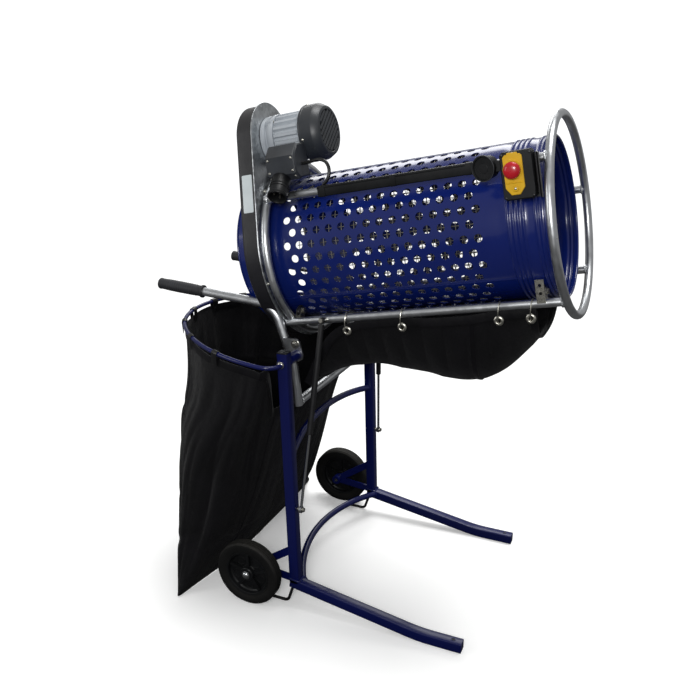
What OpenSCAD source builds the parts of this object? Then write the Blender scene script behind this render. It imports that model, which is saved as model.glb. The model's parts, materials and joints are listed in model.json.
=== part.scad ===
// Electric rotary drum sieve on a two-wheeled stand, with a tilting cradle, belt drive, collecting bag and chute.
// Millimetres, +Z up, the drum's feed end towards +X. Origin on the floor under the middle of the whole machine.

/* [Drum] */
// Outside diameter of the sieve drum
drum_d = 400; // [392:1:402]
// Length of the drum from the discharge edge to the feed rim
drum_len = 845; // [835:1:855]
// Sheet thickness of the drum
drum_wall = 2; // [1.5:0.5:2.5]
// Upward tilt of the feed end at rest, in degrees
drum_tilt = 11; // [9:0.5:12]

/* [Stand] */
// Distance between the two posts, centre to centre
post_gap = 584; // [574:1:594]
// Outside width of the square tube of the posts and legs
square_w = 30; // [28:1:32]
// Height of the posts' top end
post_top = 788; // [780:1:792]
// Backward lean of the post's top end
post_lean = 21; // [15:1:25]
// Distance from the posts to the tips of the legs
leg_reach = 505; // [480:1:520]
// Wheel diameter
wheel_d = 200; // [190:1:202]
// Wheel width
wheel_w = 40; // [36:1:42]
// Distance from the posts back to the wheel axles
axle_back = 136; // [132:1:145]

/* [Cradle] */
// Outside diameter of the tube of the rings and rails
rail_d = 22; // [20:1:22]
// Centreline diameter of the big ring at the feed end
ring_d = 500; // [498:1:510]
// Centreline diameter of the hoop at the discharge end
hoop_d = 478; // [476:1:482]
// Outside diameter of the handle tubes
handle_d = 25; // [22:1:25]
// Distance between the two handles, centre to centre
handle_gap = 400; // [400:1:404]
// Furthest the feed end swings down from rest, in degrees
tilt_max = 20; // [15:1:22]

/* [Drive] */
// Diameter of the motor's fan cover
fan_cover_d = 150; // [140:1:152]
// Turns of the drive pulley for one turn of the drum
belt_ratio = 4.5; // [4:0.1:5]
// Width of the drive belt
belt_w = 12; // [10:1:14]

/* [Bag] */
// Width of the bag's bottom seam
bag_seam_w = 820; // [700:10:840]

/* [Hidden] */

$fn = 48;
fit = 0.05;
gap = 0.3;
drum_r = drum_d / 2;
rail_r = rail_d / 2;
tube_wall = 2;

// Feed rim centre, and the drum frame: X along the drum's axis from the feed rim, Z radially up
feed_x = 628;
feed_z = 1150;
post_y = post_gap / 2;
leg_root_z = 77;
leg_bend_x = 382;
leg_mid_z = square_w / 2;
handle_y = handle_gap / 2;

// Middle of the machine's length, where the origin stands
ring_s = 20;
front_x = feed_x + ring_s * cos(drum_tilt) + ring_d / 2 * sin(drum_tilt) + rail_r;
bag_back_x = -486;
origin_x = (front_x + bag_back_x) / 2;

// Pivot of the cradle on the posts
pivot_x = -23;
pivot_z = 757;
pivot_bolt_d = 12;
lug_y = handle_y + handle_d / 2;
lug_t = 6;

// Stations along the drum's axis
hoop_s = -730;
plate_s = -747;
guard_back_s = -800;
belt_s = -772;
feed_roller_s = -39;
rear_roller_s = -709;
rail_end_s = -745;
liner_ends = [-705, -135];

// Angles of the rails round the drum, from the top towards the far side
lower_rail_angle = 135;
near_upper_angle = -49;
far_upper_angle = 82;

// Motor axis in the drum frame
motor_y = -70;
motor_n = 310;
motor_r = 66;
fan_cover_s = [-620, -564];
belt_h = 8;
pulley_r = (drum_r + gap + belt_h / 2) / belt_ratio - belt_h / 2 - gap;

// Gas struts: upper and lower ends on the near side
strut_top = [50, -204, 862];
strut_foot = [20, -292, 324];
strut_len = norm(strut_top - strut_foot);
strut_cyl_len = 322;
strut_eye_d = 12;
// Where the lower end stands, seen from the cradle, at full tilt; the upper eye turns square to both lines
strut_foot_tilted = [
    pivot_x + (strut_foot.x - pivot_x) * cos(tilt_max) - (strut_foot.z - pivot_z) * sin(tilt_max),
    strut_foot.y,
    pivot_z + (strut_foot.x - pivot_x) * sin(tilt_max) + (strut_foot.z - pivot_z) * cos(tilt_max)
];
strut_turn = cross(strut_foot - strut_top, strut_foot_tilted - strut_top);
strut_axis = strut_turn / norm(strut_turn);

roller_r = 17;
roller_orbit = drum_r + gap + roller_r;

// ---------- helpers ----------

module stand() {
    translate([-origin_x, 0, 0]) children();
}

module drum_frame() {
    translate([feed_x - origin_x, 0, feed_z]) rotate([0, -drum_tilt, 0]) children();
}

module both_sides() {
    children();
    mirror([0, 1, 0]) children();
}

// Places a child made along +Z from point a so that it points at point b
module aim(a, b) {
    v = b - a;
    translate(a) rotate([0, acos(v.z / norm(v)), atan2(v.y, v.x)]) children();
}

module rod(a, b, d) {
    aim(a, b) cylinder(d = d, h = norm(b - a));
}

module pipe(a, b, d, wall) {
    aim(a, b) difference() {
        cylinder(d = d, h = norm(b - a));
        translate([0, 0, -1]) cylinder(d = d - 2 * wall, h = norm(b - a) + 2);
    }
}

// Ring of round tube about the X axis
module hoop(centre_d, d) {
    rotate([0, 90, 0]) rotate_extrude($fn = 96) translate([centre_d / 2, 0]) difference() {
        circle(d = d);
        circle(d = d - 2 * tube_wall);
    }
}

// Rings of points across a route of points, swept as one closed tube
function unit(v) = v / norm(v);
function heading(p, i) = unit(p[min(i + 1, len(p) - 1)] - p[max(i - 1, 0)]);
function ring_of(p, i, r, sides, side_way) =
    let (t = heading(p, i), a = unit(cross(t, side_way)), b = cross(t, a))
    [for (k = [0 : sides - 1]) p[i] + r * (a * cos(k * 360 / sides) + b * sin(k * 360 / sides))];
module swept(p, r, sides, side_way = [0, 1, 0]) {
    last = (len(p) - 1) * sides;
    polyhedron([for (i = [0 : len(p) - 1]) each ring_of(p, i, r, sides, side_way)], concat(
        [for (i = [0 : len(p) - 2]) for (k = [0 : sides - 1])
            let (q = (k + 1) % sides) [i * sides + q, i * sides + k, (i + 1) * sides + k, (i + 1) * sides + q]],
        [[for (k = [0 : sides - 1]) k]],
        [[for (k = [0 : sides - 1]) last + sides - 1 - k]]
    ));
}

// Points along an arc in the plane, from angle a0 to a1
function arc_points(c, r, a0, a1, n) = [for (k = [0 : n]) let (a = a0 + k * (a1 - a0) / n) c + r * [cos(a), sin(a)]];

// Point at radius r and angle a from the top towards the far side, at station s
function polar(s, r, a) = [s, r * sin(a), r * cos(a)];

// Outline round the drum circle and the pulley circle, in the plane across the drum's axis
function teardrop_outline(r_drum, r_pulley, steps = 90) =
    let (c = [motor_y, motor_n], base = atan2(c.y, c.x), open = acos((r_drum - r_pulley) / norm(c)))
    concat(
        [for (k = [0 : steps]) let (a = base + open + k * (360 - 2 * open) / steps) r_drum * [cos(a), sin(a)]],
        [for (k = [0 : 30]) let (a = base - open + k * 2 * open / 30) c + r_pulley * [cos(a), sin(a)]]
    );
module teardrop(r_drum, r_pulley) {
    polygon(teardrop_outline(r_drum, r_pulley));
}

// Turns an outline drawn in (y, n) into a slab from station s0 to s1
module slab(s0, s1) {
    translate([s0, 0, 0]) rotate([90, 0, 90]) linear_extrude(s1 - s0) children();
}

// ---------- stand ----------

// Square post with the welded boss that holds the cradle's lug clear of it
module post() {
    lean = atan(post_lean / (post_top - leg_root_z));
    h = (post_top - leg_root_z) / cos(lean);
    inner = square_w - 2 * tube_wall;
    boss_y = -post_y + square_w / 2 - 1;
    stand() difference() {
        union() {
            translate([0, -post_y, leg_root_z]) rotate([0, -lean, 0]) difference() {
                translate([-square_w / 2, -square_w / 2, 8]) cube([square_w, square_w, h - 8]);
                translate([-inner / 2, -inner / 2, 0]) cube([inner, inner, h + 1]);
            }
            translate([pivot_x, boss_y, pivot_z]) rotate([-90, 0, 0]) cylinder(d = 30, h = -lug_y - lug_t / 2 - gap - boss_y);
        }
        translate([pivot_x, -post_y - 40, pivot_z]) rotate([-90, 0, 0]) cylinder(d = pivot_bolt_d + 2 * fit, h = 120);
    }
}

// Side outline of a leg: sloping from the post, then flat on the floor
function leg_outline(t, x0, x1) =
    let (slope = atan((leg_root_z - leg_mid_z) / leg_bend_x), k = tan(slope / 2) * t,
         z0 = leg_root_z - x0 * tan(slope))
    [[x0, z0 - t / cos(slope)], [leg_bend_x - k, leg_mid_z - t], [x1, leg_mid_z - t],
     [x1, leg_mid_z + t], [leg_bend_x + k, leg_mid_z + t], [x0, z0 + t / cos(slope)]];

module leg() {
    half = square_w / 2;
    stand() translate([0, -post_y, 0]) rotate([90, 0, 0]) difference() {
        translate([0, 0, -half]) linear_extrude(square_w) polygon(leg_outline(half, -half, leg_reach));
        translate([0, 0, -half + tube_wall]) linear_extrude(square_w - 2 * tube_wall)
            polygon(leg_outline(half - tube_wall, -half + tube_wall, leg_reach - tube_wall));
        translate([leg_reach - 25, 60, 0]) rotate([90, 0, 0]) cylinder(d = 9, h = 80);
    }
}

// Round cross tube bowed backwards between the posts
module arch(x_end, z_end, bow, rise) {
    half = post_y - square_w / 2 + 1;
    r = (half * half + bow * bow) / (2 * bow);
    a = asin(half / r);
    stand() translate([x_end, 0, z_end]) rotate([0, -rise, 0]) translate([bow - r, 0, 0])
        rotate([0, 0, -a]) rotate_extrude(angle = 2 * a, $fn = 128) translate([r, 0]) difference() {
            circle(d = 20, $fn = 32);
            circle(d = 16, $fn = 32);
        }
}

module near_post() {
    color("mediumblue") post();
}

module far_post() {
    color("mediumblue") mirror([0, 1, 0]) post();
}

module near_leg() {
    color("mediumblue") leg();
}

module far_leg() {
    color("mediumblue") mirror([0, 1, 0]) leg();
}

module stand_arches() {
    color("mediumblue") {
        arch(-12.5, 480, 47, 147);
        arch(15, 79, 81, 172);
    }
}

// Plastic plugs that close the posts' top ends
module post_caps() {
    lean = atan(post_lean / (post_top - leg_root_z));
    h = (post_top - leg_root_z) / cos(lean);
    inner = square_w - 2 * tube_wall - 2 * fit;
    color("black") both_sides() stand() translate([0, -post_y, leg_root_z]) rotate([0, -lean, 0]) {
        translate([-square_w / 2, -square_w / 2, h]) cube([square_w, square_w, 3]);
        translate([-inner / 2, -inner / 2, h - 12]) cube([inner, inner, 12]);
    }
}

axle_z = wheel_d / 2;
bracket_y = post_y;
wheel_y = post_y + square_w / 2 + 3 + wheel_w / 2;

// Flat outline of width w from a to b
module arm_outline(a, b, w) {
    v = b - a;
    translate(a) rotate(atan2(v.y, v.x)) translate([0, -w / 2]) square([norm(v), w]);
}

// Two flat arms from the post to the axle boss, on each side
module wheel_brackets() {
    axle = [-axle_back, axle_z];
    color("mediumblue") both_sides() stand() translate([0, -bracket_y, 0]) rotate([90, 0, 0]) {
        translate([0, 0, -3]) linear_extrude(6) difference() {
            union() {
                arm_outline([-17, 182], axle, 22);
                arm_outline([-14, 88], axle, 22);
            }
            translate(axle) circle(d = 22);
        }
        translate([axle.x, axle.y, -14]) difference() {
            cylinder(d = 30, h = 28);
            translate([0, 0, -1]) cylinder(d = 12, h = 30);
        }
    }
}

module wheel_axles() {
    color("silver") both_sides() stand() translate([-axle_back, -wheel_y - wheel_w / 2 - 6, axle_z])
        rotate([-90, 0, 0]) cylinder(d = 12, h = wheel_w + 6 + 3 + square_w / 2 + 12);
}

// Push-on hub caps that keep the wheels on their axles
module hub_caps() {
    color("silver") both_sides() stand() translate([-axle_back, -wheel_y - wheel_w / 2 - 2.5, axle_z])
        rotate([90, 0, 0]) difference() {
            union() {
                cylinder(d = 24, h = 3);
                cylinder(d1 = 20, d2 = 14, h = 8);
            }
            translate([0, 0, -1]) cylinder(d = 12, h = 4.5);
        }
}

// Bent steel rod under each post that stops the stand rolling back
module rest_feet() {
    knee = [-30, -post_y, 5.5];
    color("black") both_sides() stand() {
        rod([-8, -post_y, 66], knee, 9);
        rod(knee, [-86, -post_y, 5.5], 9);
        translate(knee) sphere(d = 9);
    }
}

// ---------- wheels ----------

module at_wheel(side) {
    stand() translate([-axle_back, side * wheel_y, axle_z]) rotate([90, 0, 0]) children();
}

module tyre(side) {
    r = wheel_d / 2;
    w = wheel_w;
    at_wheel(side) rotate_extrude($fn = 128) difference() {
        polygon([[r - 30, -w / 2 + 4], [r - 12, -w / 2], [r - 4, -w / 2 + 2], [r, -w / 2 + 8],
                 [r, w / 2 - 8], [r - 4, w / 2 - 2], [r - 12, w / 2], [r - 30, w / 2 - 4]]);
        for (z = [-9, -3, 3, 9]) translate([r - 2.5, z - 1]) square([5, 2]);
    }
}

module wheel_centre(side) {
    r = wheel_d / 2 - 30;
    at_wheel(side) difference() {
        union() {
            cylinder(d = 42, h = wheel_w - 2, center = true);
            difference() {
                cylinder(r = r, h = wheel_w - 10, center = true, $fn = 96);
                cylinder(r = r - 6, h = wheel_w, center = true, $fn = 96);
            }
            cylinder(r = r - 2, h = 6, center = true, $fn = 96);
            for (k = [0 : 4]) rotate([0, 0, k * 72]) translate([18, -5, -10]) cube([r - 22, 10, 20]);
        }
        cylinder(d = 12 + 2 * fit, h = wheel_w + 2, center = true);
        for (k = [0 : 4]) rotate([0, 0, k * 72 + 36]) translate([r * 0.62, 0, 0]) cylinder(d = 24, h = 20, center = true);
    }
}

module near_tyre() {
    color("dimgray") tyre(-1);
}

module far_tyre() {
    color("dimgray") tyre(1);
}

module near_wheel_centre() {
    color("black") wheel_centre(-1);
}

module far_wheel_centre() {
    color("black") wheel_centre(1);
}

// ---------- bag ring and bag ----------

ring_bar = 12;
side_arc_r = 442.3;
side_arc_y = 90.3;
back_arc_r = 300;
back_arc_x = -175;
side_arc_x = -65;
bag_ring_rise = 0.07;

// Bent round bar that carries the bag's mouth, bolted to the outside of both posts
module bag_ring() {
    turn = atan2(side_arc_y, side_arc_x - back_arc_x);
    end_y = post_y + square_w / 2;
    end_r = side_arc_r - side_arc_y - end_y;
    far_side = concat(
        arc_points([side_arc_x, end_y], end_r, 0, 80, 8),
        arc_points([side_arc_x, -side_arc_y], side_arc_r, 90, 180 - turn, 24),
        arc_points([back_arc_x, 0], back_arc_r, 180 - turn + 3, 180, 12)
    );
    last = len(far_side) - 2;
    route = concat(far_side, [for (k = [last : -1 : 0]) [far_side[k].x, -far_side[k].y]]);
    color("mediumblue") stand() translate([-20, 0, pivot_z]) rotate([0, atan(bag_ring_rise), 0])
        translate([20, 0, 0]) swept([for (q = route) [q.x, q.y, 0]], ring_bar / 2, 16, [0, 0, 1]);
}

// Pivot bolts: domed head outside, shank through the post, the boss and the cradle's lug, nut inside
module pivot_bolts() {
    head_y = -post_y - square_w / 2;
    nut_y = -lug_y + lug_t / 2 + 4;
    color("silver") both_sides() stand() translate([pivot_x, 0, pivot_z]) {
        translate([0, head_y, 0]) rotate([90, 0, 0]) cylinder(d1 = 24, d2 = 12, h = 9);
        translate([0, head_y - 0.01, 0]) rotate([-90, 0, 0]) cylinder(d = pivot_bolt_d, h = nut_y + 12 - head_y);
        translate([0, nut_y, 0]) rotate([-90, 0, 0]) cylinder(d = 21, h = 9, $fn = 6);
    }
}

// Studs on the front of the posts for the lower strut ends
module strut_studs() {
    color("silver") both_sides() stand() translate([0, strut_foot.y, strut_foot.z]) rotate([0, 90, 0]) {
        translate([0, 0, 7]) cylinder(d = 8, h = 22);
        translate([0, 0, 27]) cylinder(d = 13, h = 4);
    }
}

// Plan of the bag at each height: [z, front x, back x, half width, x of the widest place, roundness of the back]
bag_levels = [
    [4, -296, -322, bag_seam_w / 2, -309, 0.8],
    [40, -262, -362, 392, -312, 0.8],
    [120, -205, -420, 366, -312, 0.8],
    [240, -150, -458, 350, -304, 0.8],
    [380, -103, -474, 340, -280, 0.82],
    [500, -76, -480, 336, -230, 0.88],
    [590, -56, bag_back_x, 338, -170, 1],
    [745, -50, -478, 348, -100, 1.08]
];
bag_front_top = 596;
bag_points = 48;
bag_wall = 4;

// Point of the plan at angle a; the mouth's edge climbs towards the back with the ring
function bag_plan(level, inset, a) =
    let (front = level[1] - inset, back = level[2] + inset, half = level[3] - inset, c = cos(a), s = sin(a),
         e = c < 0 ? level[5] : 0.8, x = level[4] + (c < 0 ? level[4] - back : front - level[4]) * sign(c) * pow(abs(c), e),
         climb = max(0, level[0] - 590) / 155 * bag_ring_rise * (-20 - x))
    [x, half * sign(s) * pow(abs(s), e), level[0] + climb];

// Soft bag: lofted from the bottom seam up to the open mouth
module collecting_bag() {
    n = bag_points;
    outer = [for (level = bag_levels) for (k = [0 : n - 1]) bag_plan(level, 0, k * 360 / n)];
    inner = [for (level = bag_levels) for (k = [0 : n - 1])
        let (p = bag_plan(level, bag_wall, k * 360 / n)) [p.x, p.y, level[0] == 4 ? 4 + bag_wall : p.z]];
    m = len(bag_levels);
    shift = n * m;
    color("dimgray") stand() difference() {
        polyhedron(concat(outer, inner), concat(
        [for (j = [0 : m - 2]) for (k = [0 : n - 1]) let (q = (k + 1) % n) [j * n + k, (j + 1) * n + k, (j + 1) * n + q]],
        [for (j = [0 : m - 2]) for (k = [0 : n - 1]) let (q = (k + 1) % n) [j * n + k, (j + 1) * n + q, j * n + q]],
        [for (j = [0 : m - 2]) for (k = [0 : n - 1]) let (q = (k + 1) % n)
            [shift + j * n + k, shift + (j + 1) * n + q, shift + (j + 1) * n + k]],
        [for (j = [0 : m - 2]) for (k = [0 : n - 1]) let (q = (k + 1) % n)
            [shift + j * n + k, shift + j * n + q, shift + (j + 1) * n + q]],
        [for (k = [0 : n - 1]) let (q = (k + 1) % n) [(m - 1) * n + k, shift + (m - 1) * n + k, shift + (m - 1) * n + q]],
        [for (k = [0 : n - 1]) let (q = (k + 1) % n) [(m - 1) * n + k, shift + (m - 1) * n + q, (m - 1) * n + q]],
        [[for (k = [0 : n - 1]) k]],
        [[for (k = [0 : n - 1]) shift + n - 1 - k]]
        ));
        translate([-130, -262, bag_front_top]) cube([200, 524, 300]);
    }
}

// ---------- cradle tubes ----------

grip_x = -470;
handle_start = [grip_x, 909];
handle_elbow = [-98, 886];
handle_knee = [-42, 722];
handle_end = [-28, 600];

// Points round a corner at v between the straights from a and to b
function corner(a, v, b, r) =
    let (d0 = atan2(v.y - a.y, v.x - a.x), turn = atan2(b.y - v.y, b.x - v.x) - d0, cut = r * tan(abs(turn) / 2),
         c = v - cut * [cos(d0), sin(d0)] + sign(turn) * r * [-sin(d0), cos(d0)], a0 = d0 - sign(turn) * 90)
    arc_points(c, r, a0, a0 + turn, 12);
handle_slope = atan2(handle_elbow.y - handle_start.y, handle_elbow.x - handle_start.x);

module handle_tube() {
    route = concat([handle_start], corner(handle_start, handle_elbow, handle_knee, 70),
                   corner(handle_elbow, handle_knee, handle_end, 160), [handle_end]);
    bore = concat([handle_start - [1, 0]], [for (k = [1 : len(route) - 2]) route[k]], [handle_end - [0, 1]]);
    stand() translate([0, -handle_y, 0]) difference() {
        swept([for (q = route) [q.x, 0, q.y]], handle_d / 2, 24);
        swept([for (q = bore) [q.x, 0, q.y]], handle_d / 2 - tube_wall, 24);
    }
}

module near_handle() {
    color("silver") handle_tube();
}

module far_handle() {
    color("silver") mirror([0, 1, 0]) handle_tube();
}

// Rubber grips over the handle ends
module handle_grips() {
    along = [cos(handle_slope), 0, sin(handle_slope)];
    tip = [grip_x, -handle_y, handle_start.y];
    color("black") both_sides() stand() difference() {
        union() {
            rod(tip - 4 * along, tip + 142 * along, 33);
            rod(tip + 140 * along, tip + 146 * along, 37);
        }
        rod(tip, tip + 160 * along, handle_d);
    }
}

// Tube that joins the lower ends of the two handles
module cross_tube() {
    z = handle_end.y + 10;
    color("silver") stand() pipe([-29, -handle_y + handle_d / 2 - 1, z], [-29, handle_y - handle_d / 2 + 1, z], handle_d, tube_wall);
}

// Steel lugs on the handle tubes that turn on the pivot bolts
module pivot_lugs() {
    color("silver") both_sides() stand() translate([0, -lug_y + lug_t / 2, 0]) rotate([90, 0, 0]) difference() {
        union() {
            translate([pivot_x, pivot_z, 0]) cylinder(r = 19, h = lug_t);
            translate([pivot_x - 4, pivot_z + 30, 0]) cylinder(r = 15, h = lug_t);
            linear_extrude(lug_t) polygon([
                [pivot_x + 19, pivot_z], [pivot_x + 11, pivot_z + 30], [pivot_x - 4, pivot_z + 45],
                [-64, 800], [-52, 742], [pivot_x, pivot_z - 19]
            ]);
        }
        translate([pivot_x, pivot_z, -1]) cylinder(d = pivot_bolt_d + 2 * fit, h = lug_t + 2);
    }
}

// Bolts through the lugs, spacers between the guard plate and the hoop, and the upper strut studs
module cradle_bolts() {
    lug_face = -lug_y - lug_t / 2;
    color("silver") {
        both_sides() stand() {
            translate([pivot_x - 4, lug_face, pivot_z + 30]) rotate([90, 0, 0]) {
                cylinder(d = 24, h = 2);
                cylinder(d1 = 18, d2 = 10, h = 8);
            }
            aim(strut_top, strut_top + strut_axis) {
                translate([0, 0, -18]) cylinder(d = 8, h = 26);
                translate([0, 0, -18]) cylinder(d = 14, h = 12);
                translate([0, 0, 5]) cylinder(d = 13, h = 5, $fn = 6);
            }
        }
        drum_frame() for (angle = [-145, -103, -40, 30, 75, 120, 165])
            translate(polar(plate_s + 3, hoop_d / 2, angle)) rotate([0, 90, 0]) cylinder(d = 11, h = 8);
    }
}

module feed_ring() {
    color("silver") drum_frame() translate([ring_s, 0, 0]) hoop(ring_d, rail_d);
}

module rear_hoop() {
    color("silver") drum_frame() translate([hoop_s, 0, 0]) hoop(hoop_d, rail_d);
}

// Rail along the drum, welded into the ring and the hoop
module rail(angle, s0) {
    p = polar(s0, ring_d / 2, angle);
    drum_frame() pipe(p, [ring_s, p.y, p.z], rail_d, tube_wall);
}

module lower_rails() {
    color("silver") {
        rail(lower_rail_angle, rail_end_s);
        rail(-lower_rail_angle, rail_end_s);
    }
}

module upper_rails() {
    color("silver") {
        rail(near_upper_angle, hoop_s);
        rail(far_upper_angle, hoop_s);
    }
}

// ---------- rollers ----------

module at_roller(s, angle) {
    p = polar(s, roller_orbit, angle);
    drum_frame() translate(p) rotate([-angle, 0, 0]) rotate([0, 90, 0]) children();
}

// Folded bracket: web outside the rail and two ears that hold the roller's axle
module roller_bracket(s, w, angle) {
    drum_frame() rotate([-angle, 0, 0]) translate([s, 0, roller_orbit]) {
        for (side = [-1, 1]) translate([side * (w / 2 + 2.5) - 1.5, 0, 0]) rotate([0, 90, 0]) difference() {
            union() {
                cylinder(r = 12, h = 3);
                translate([-22.7, -11, 0]) cube([22.7, 22, 3]);
            }
            translate([0, 0, -1]) cylinder(d = 8, h = 5);
        }
        translate([-w / 2 - 4, -11, 19.7]) cube([w + 8, 22, 3]);
    }
}

// Flat upright plate on the outer side of the rail, with two spare holes
module bracket_plate(s) {
    y = ring_d / 2 * sin(lower_rail_angle) + rail_r;
    both_sides() drum_frame() translate([s - 8, -y - 2.7, -174]) difference() {
        cube([21, 4, 58]);
        for (n = [24, 44]) translate([10.5, -1, n]) rotate([-90, 0, 0]) cylinder(d = 8, h = 6);
    }
}

module roller_brackets() {
    color("silver") {
        for (angle = [-lower_rail_angle, lower_rail_angle]) {
            roller_bracket(feed_roller_s, 14, angle);
            roller_bracket(rear_roller_s, 8, angle);
        }
        bracket_plate(feed_roller_s);
    }
}

module roller_axle(s, w, angle) {
    at_roller(s, angle) {
        translate([0, 0, -w / 2 - 9]) cylinder(d = 8, h = w + 18);
        translate([0, 0, w / 2 + 4]) cylinder(d = 15, h = 5, $fn = 6);
        translate([0, 0, -w / 2 - 8]) cylinder(d = 15, h = 4, $fn = 6);
    }
}

module roller_axles() {
    color("silver") for (angle = [-lower_rail_angle, lower_rail_angle]) {
        roller_axle(feed_roller_s, 14, angle);
        roller_axle(rear_roller_s, 8, angle);
    }
}

module roller(s, w, angle) {
    color("black") at_roller(s, angle) rotate_extrude($fn = 64) polygon([
        [4 + fit, -w / 2], [roller_r - 1.5, -w / 2], [roller_r, -w / 2 + 1.5],
        [roller_r, w / 2 - 1.5], [roller_r - 1.5, w / 2], [4 + fit, w / 2]
    ]);
}

module near_feed_roller() {
    roller(feed_roller_s, 14, -lower_rail_angle);
}

module far_feed_roller() {
    roller(feed_roller_s, 14, lower_rail_angle);
}

module near_rear_roller() {
    roller(rear_roller_s, 8, -lower_rail_angle);
}

module far_rear_roller() {
    roller(rear_roller_s, 8, lower_rail_angle);
}

// ---------- belt guard and drive ----------

guard_r = 247;
guard_top_r = 97;
guard_hole_r = 213;
guard_wall = 2.5;

// Moulded guard: a teardrop rim with a back wall, open round the drum
module guard_shell() {
    color("black") drum_frame() difference() {
        slab(guard_back_s, plate_s) teardrop(guard_r, guard_top_r);
        slab(guard_back_s + guard_wall, plate_s + 1) teardrop(guard_r - guard_wall, guard_top_r - guard_wall);
        slab(guard_back_s - 1, plate_s + 1) circle(r = guard_hole_r, $fn = 96);
    }
}

// Galvanised plate that carries the motor and closes the guard's front
module guard_plate() {
    color("silver") drum_frame() slab(plate_s, plate_s + 3) difference() {
        teardrop(guard_r + 5, guard_top_r + 5);
        circle(r = guard_hole_r, $fn = 96);
        translate([motor_y, motor_n]) circle(r = 30);
    }
}

module drive_belt() {
    color("black") drum_frame() slab(belt_s - belt_w / 2, belt_s + belt_w / 2) difference() {
        teardrop(drum_r + gap + belt_h, pulley_r + gap + belt_h);
        teardrop(drum_r + gap, pulley_r + gap);
    }
}

module at_motor(s) {
    drum_frame() translate([s, motor_y, motor_n]) rotate([0, 90, 0]) children();
}

// Flanged reduction unit between the motor and the guard plate
module gearbox_housing() {
    color("lightgray") at_motor(plate_s + 3) difference() {
        union() {
            cylinder(r = motor_r - 4, h = 8);
            cylinder(r = motor_r - 10, h = 24);
        }
        translate([0, 0, -1]) cylinder(r = 12 + fit, h = 12);
        translate([0, 0, 14]) cylinder(r = 8 + fit, h = 12);
    }
}

motor_body_s = plate_s + 27;

// Finned aluminium stator housing
module motor_body() {
    h = fan_cover_s[0] - motor_body_s;
    color("lightsteelblue") at_motor(motor_body_s) difference() {
        union() {
            cylinder(r = motor_r - 12, h = h);
            cylinder(r = motor_r - 1, h = 7);
            translate([0, 0, h - 7]) cylinder(r = motor_r - 1, h = 7);
            for (k = [0 : 27]) rotate([0, 0, k * 360 / 28]) translate([motor_r - 14, -1.4, 2]) cube([12, 2.8, h - 4]);
        }
        translate([0, 0, -1]) cylinder(r = 8 + fit, h = 9);
        translate([0, 0, 7]) cylinder(r = motor_r - 18, h = h - 14);
        translate([0, 0, h - 9]) cylinder(r = 8 + fit, h = 10);
    }
}

// Plastic cover over the motor's fan, with air slots in its end
module motor_fan_cover() {
    r = fan_cover_d / 2;
    h = fan_cover_s[1] - fan_cover_s[0];
    color("black") at_motor(fan_cover_s[0]) difference() {
        rotate_extrude($fn = 96) polygon([
            [r - 2.5, 0], [r, 0], [r, h - 14], [r - 12, h], [0, h], [0, h - 2.5], [r - 13, h - 2.5], [r - 2.5, h - 15]
        ]);
        for (k = [-6 : 6]) translate([k * 8 - 1.75, -sqrt(pow(r - 16, 2) - pow(k * 8, 2)), h - 6])
            cube([3.5, 2 * sqrt(pow(r - 16, 2) - pow(k * 8, 2)), 8]);
    }
}

// Output shaft and grooved pulley, turned by the reduction unit
module drive_pulley() {
    flange_r = pulley_r + 7;
    color("dimgray") drum_frame() translate([0, motor_y, motor_n]) rotate([0, 90, 0]) {
        translate([0, 0, plate_s - 43]) cylinder(r = 12, h = 54);
        translate([0, 0, belt_s - belt_w / 2 - 4]) cylinder(r = flange_r, h = 3.5);
        translate([0, 0, belt_s - belt_w / 2 - 4]) cylinder(r = pulley_r, h = belt_w + 8);
        translate([0, 0, belt_s + belt_w / 2 + 0.5]) cylinder(r = flange_r, h = 3.5);
    }
}

// Motor shaft with its rotor core and cooling fan
module motor_rotor() {
    h = fan_cover_s[0] - motor_body_s;
    color("gray") at_motor(motor_body_s) {
        translate([0, 0, -8]) cylinder(r = 8, h = h + 54);
        translate([0, 0, 14]) cylinder(r = motor_r - 22, h = h - 30);
        translate([0, 0, h + 22]) cylinder(r = 20, h = 20);
        for (k = [0 : 5]) rotate([0, 0, k * 60]) translate([15, -1.5, h + 22]) cube([40, 3, 20]);
    }
}

box_s = [-700, -612];
box_y = [-206, -134];
box_n = [206, 292];

// Bevelled box with the motor's terminals
module terminal_box() {
    color("black") drum_frame() difference() {
        union() {
            slab(box_s[0], box_s[1]) polygon([
                [box_y[0], box_n[0] + 14], [box_y[0] + 14, box_n[0]], [box_y[1], box_n[0]],
                [box_y[1], box_n[1]], [box_y[0] + 26, box_n[1]], [box_y[0], box_n[1] - 26]
            ]);
            translate([box_s[0] + 8, box_y[1] - 1, box_n[1] - 30]) cube([40, 13, 28]);
        }
        slab(box_s[0] + 3, box_s[1] - 3) polygon([
            [box_y[0] + 3, box_n[0] + 16], [box_y[0] + 16, box_n[0] + 3], [box_y[1] - 3, box_n[0] + 3],
            [box_y[1] - 3, box_n[1] - 28], [box_y[1] - 20, box_n[1] - 3],
            [box_y[0] + 28, box_n[1] - 3], [box_y[0] + 3, box_n[1] - 28]
        ]);
        translate([fan_cover_s[0] - 1, motor_y, motor_n]) rotate([0, 90, 0]) cylinder(r = fan_cover_d / 2 + 1, h = 60);
    }
}

// Round mains inlet under the terminal box, with three pins in its mouth
module motor_inlet() {
    at = [-664, -212, 196];
    color("black") drum_frame() translate(at) rotate([135, 0, 0]) {
        difference() {
            translate([0, 0, -22]) cylinder(d = 50, h = 62);
            translate([0, 0, 14]) cylinder(d = 42, h = 30);
        }
        for (k = [0 : 2]) rotate([0, 0, k * 120]) translate([11, 0, 12]) cylinder(d = 6, h = 20);
    }
}

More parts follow.
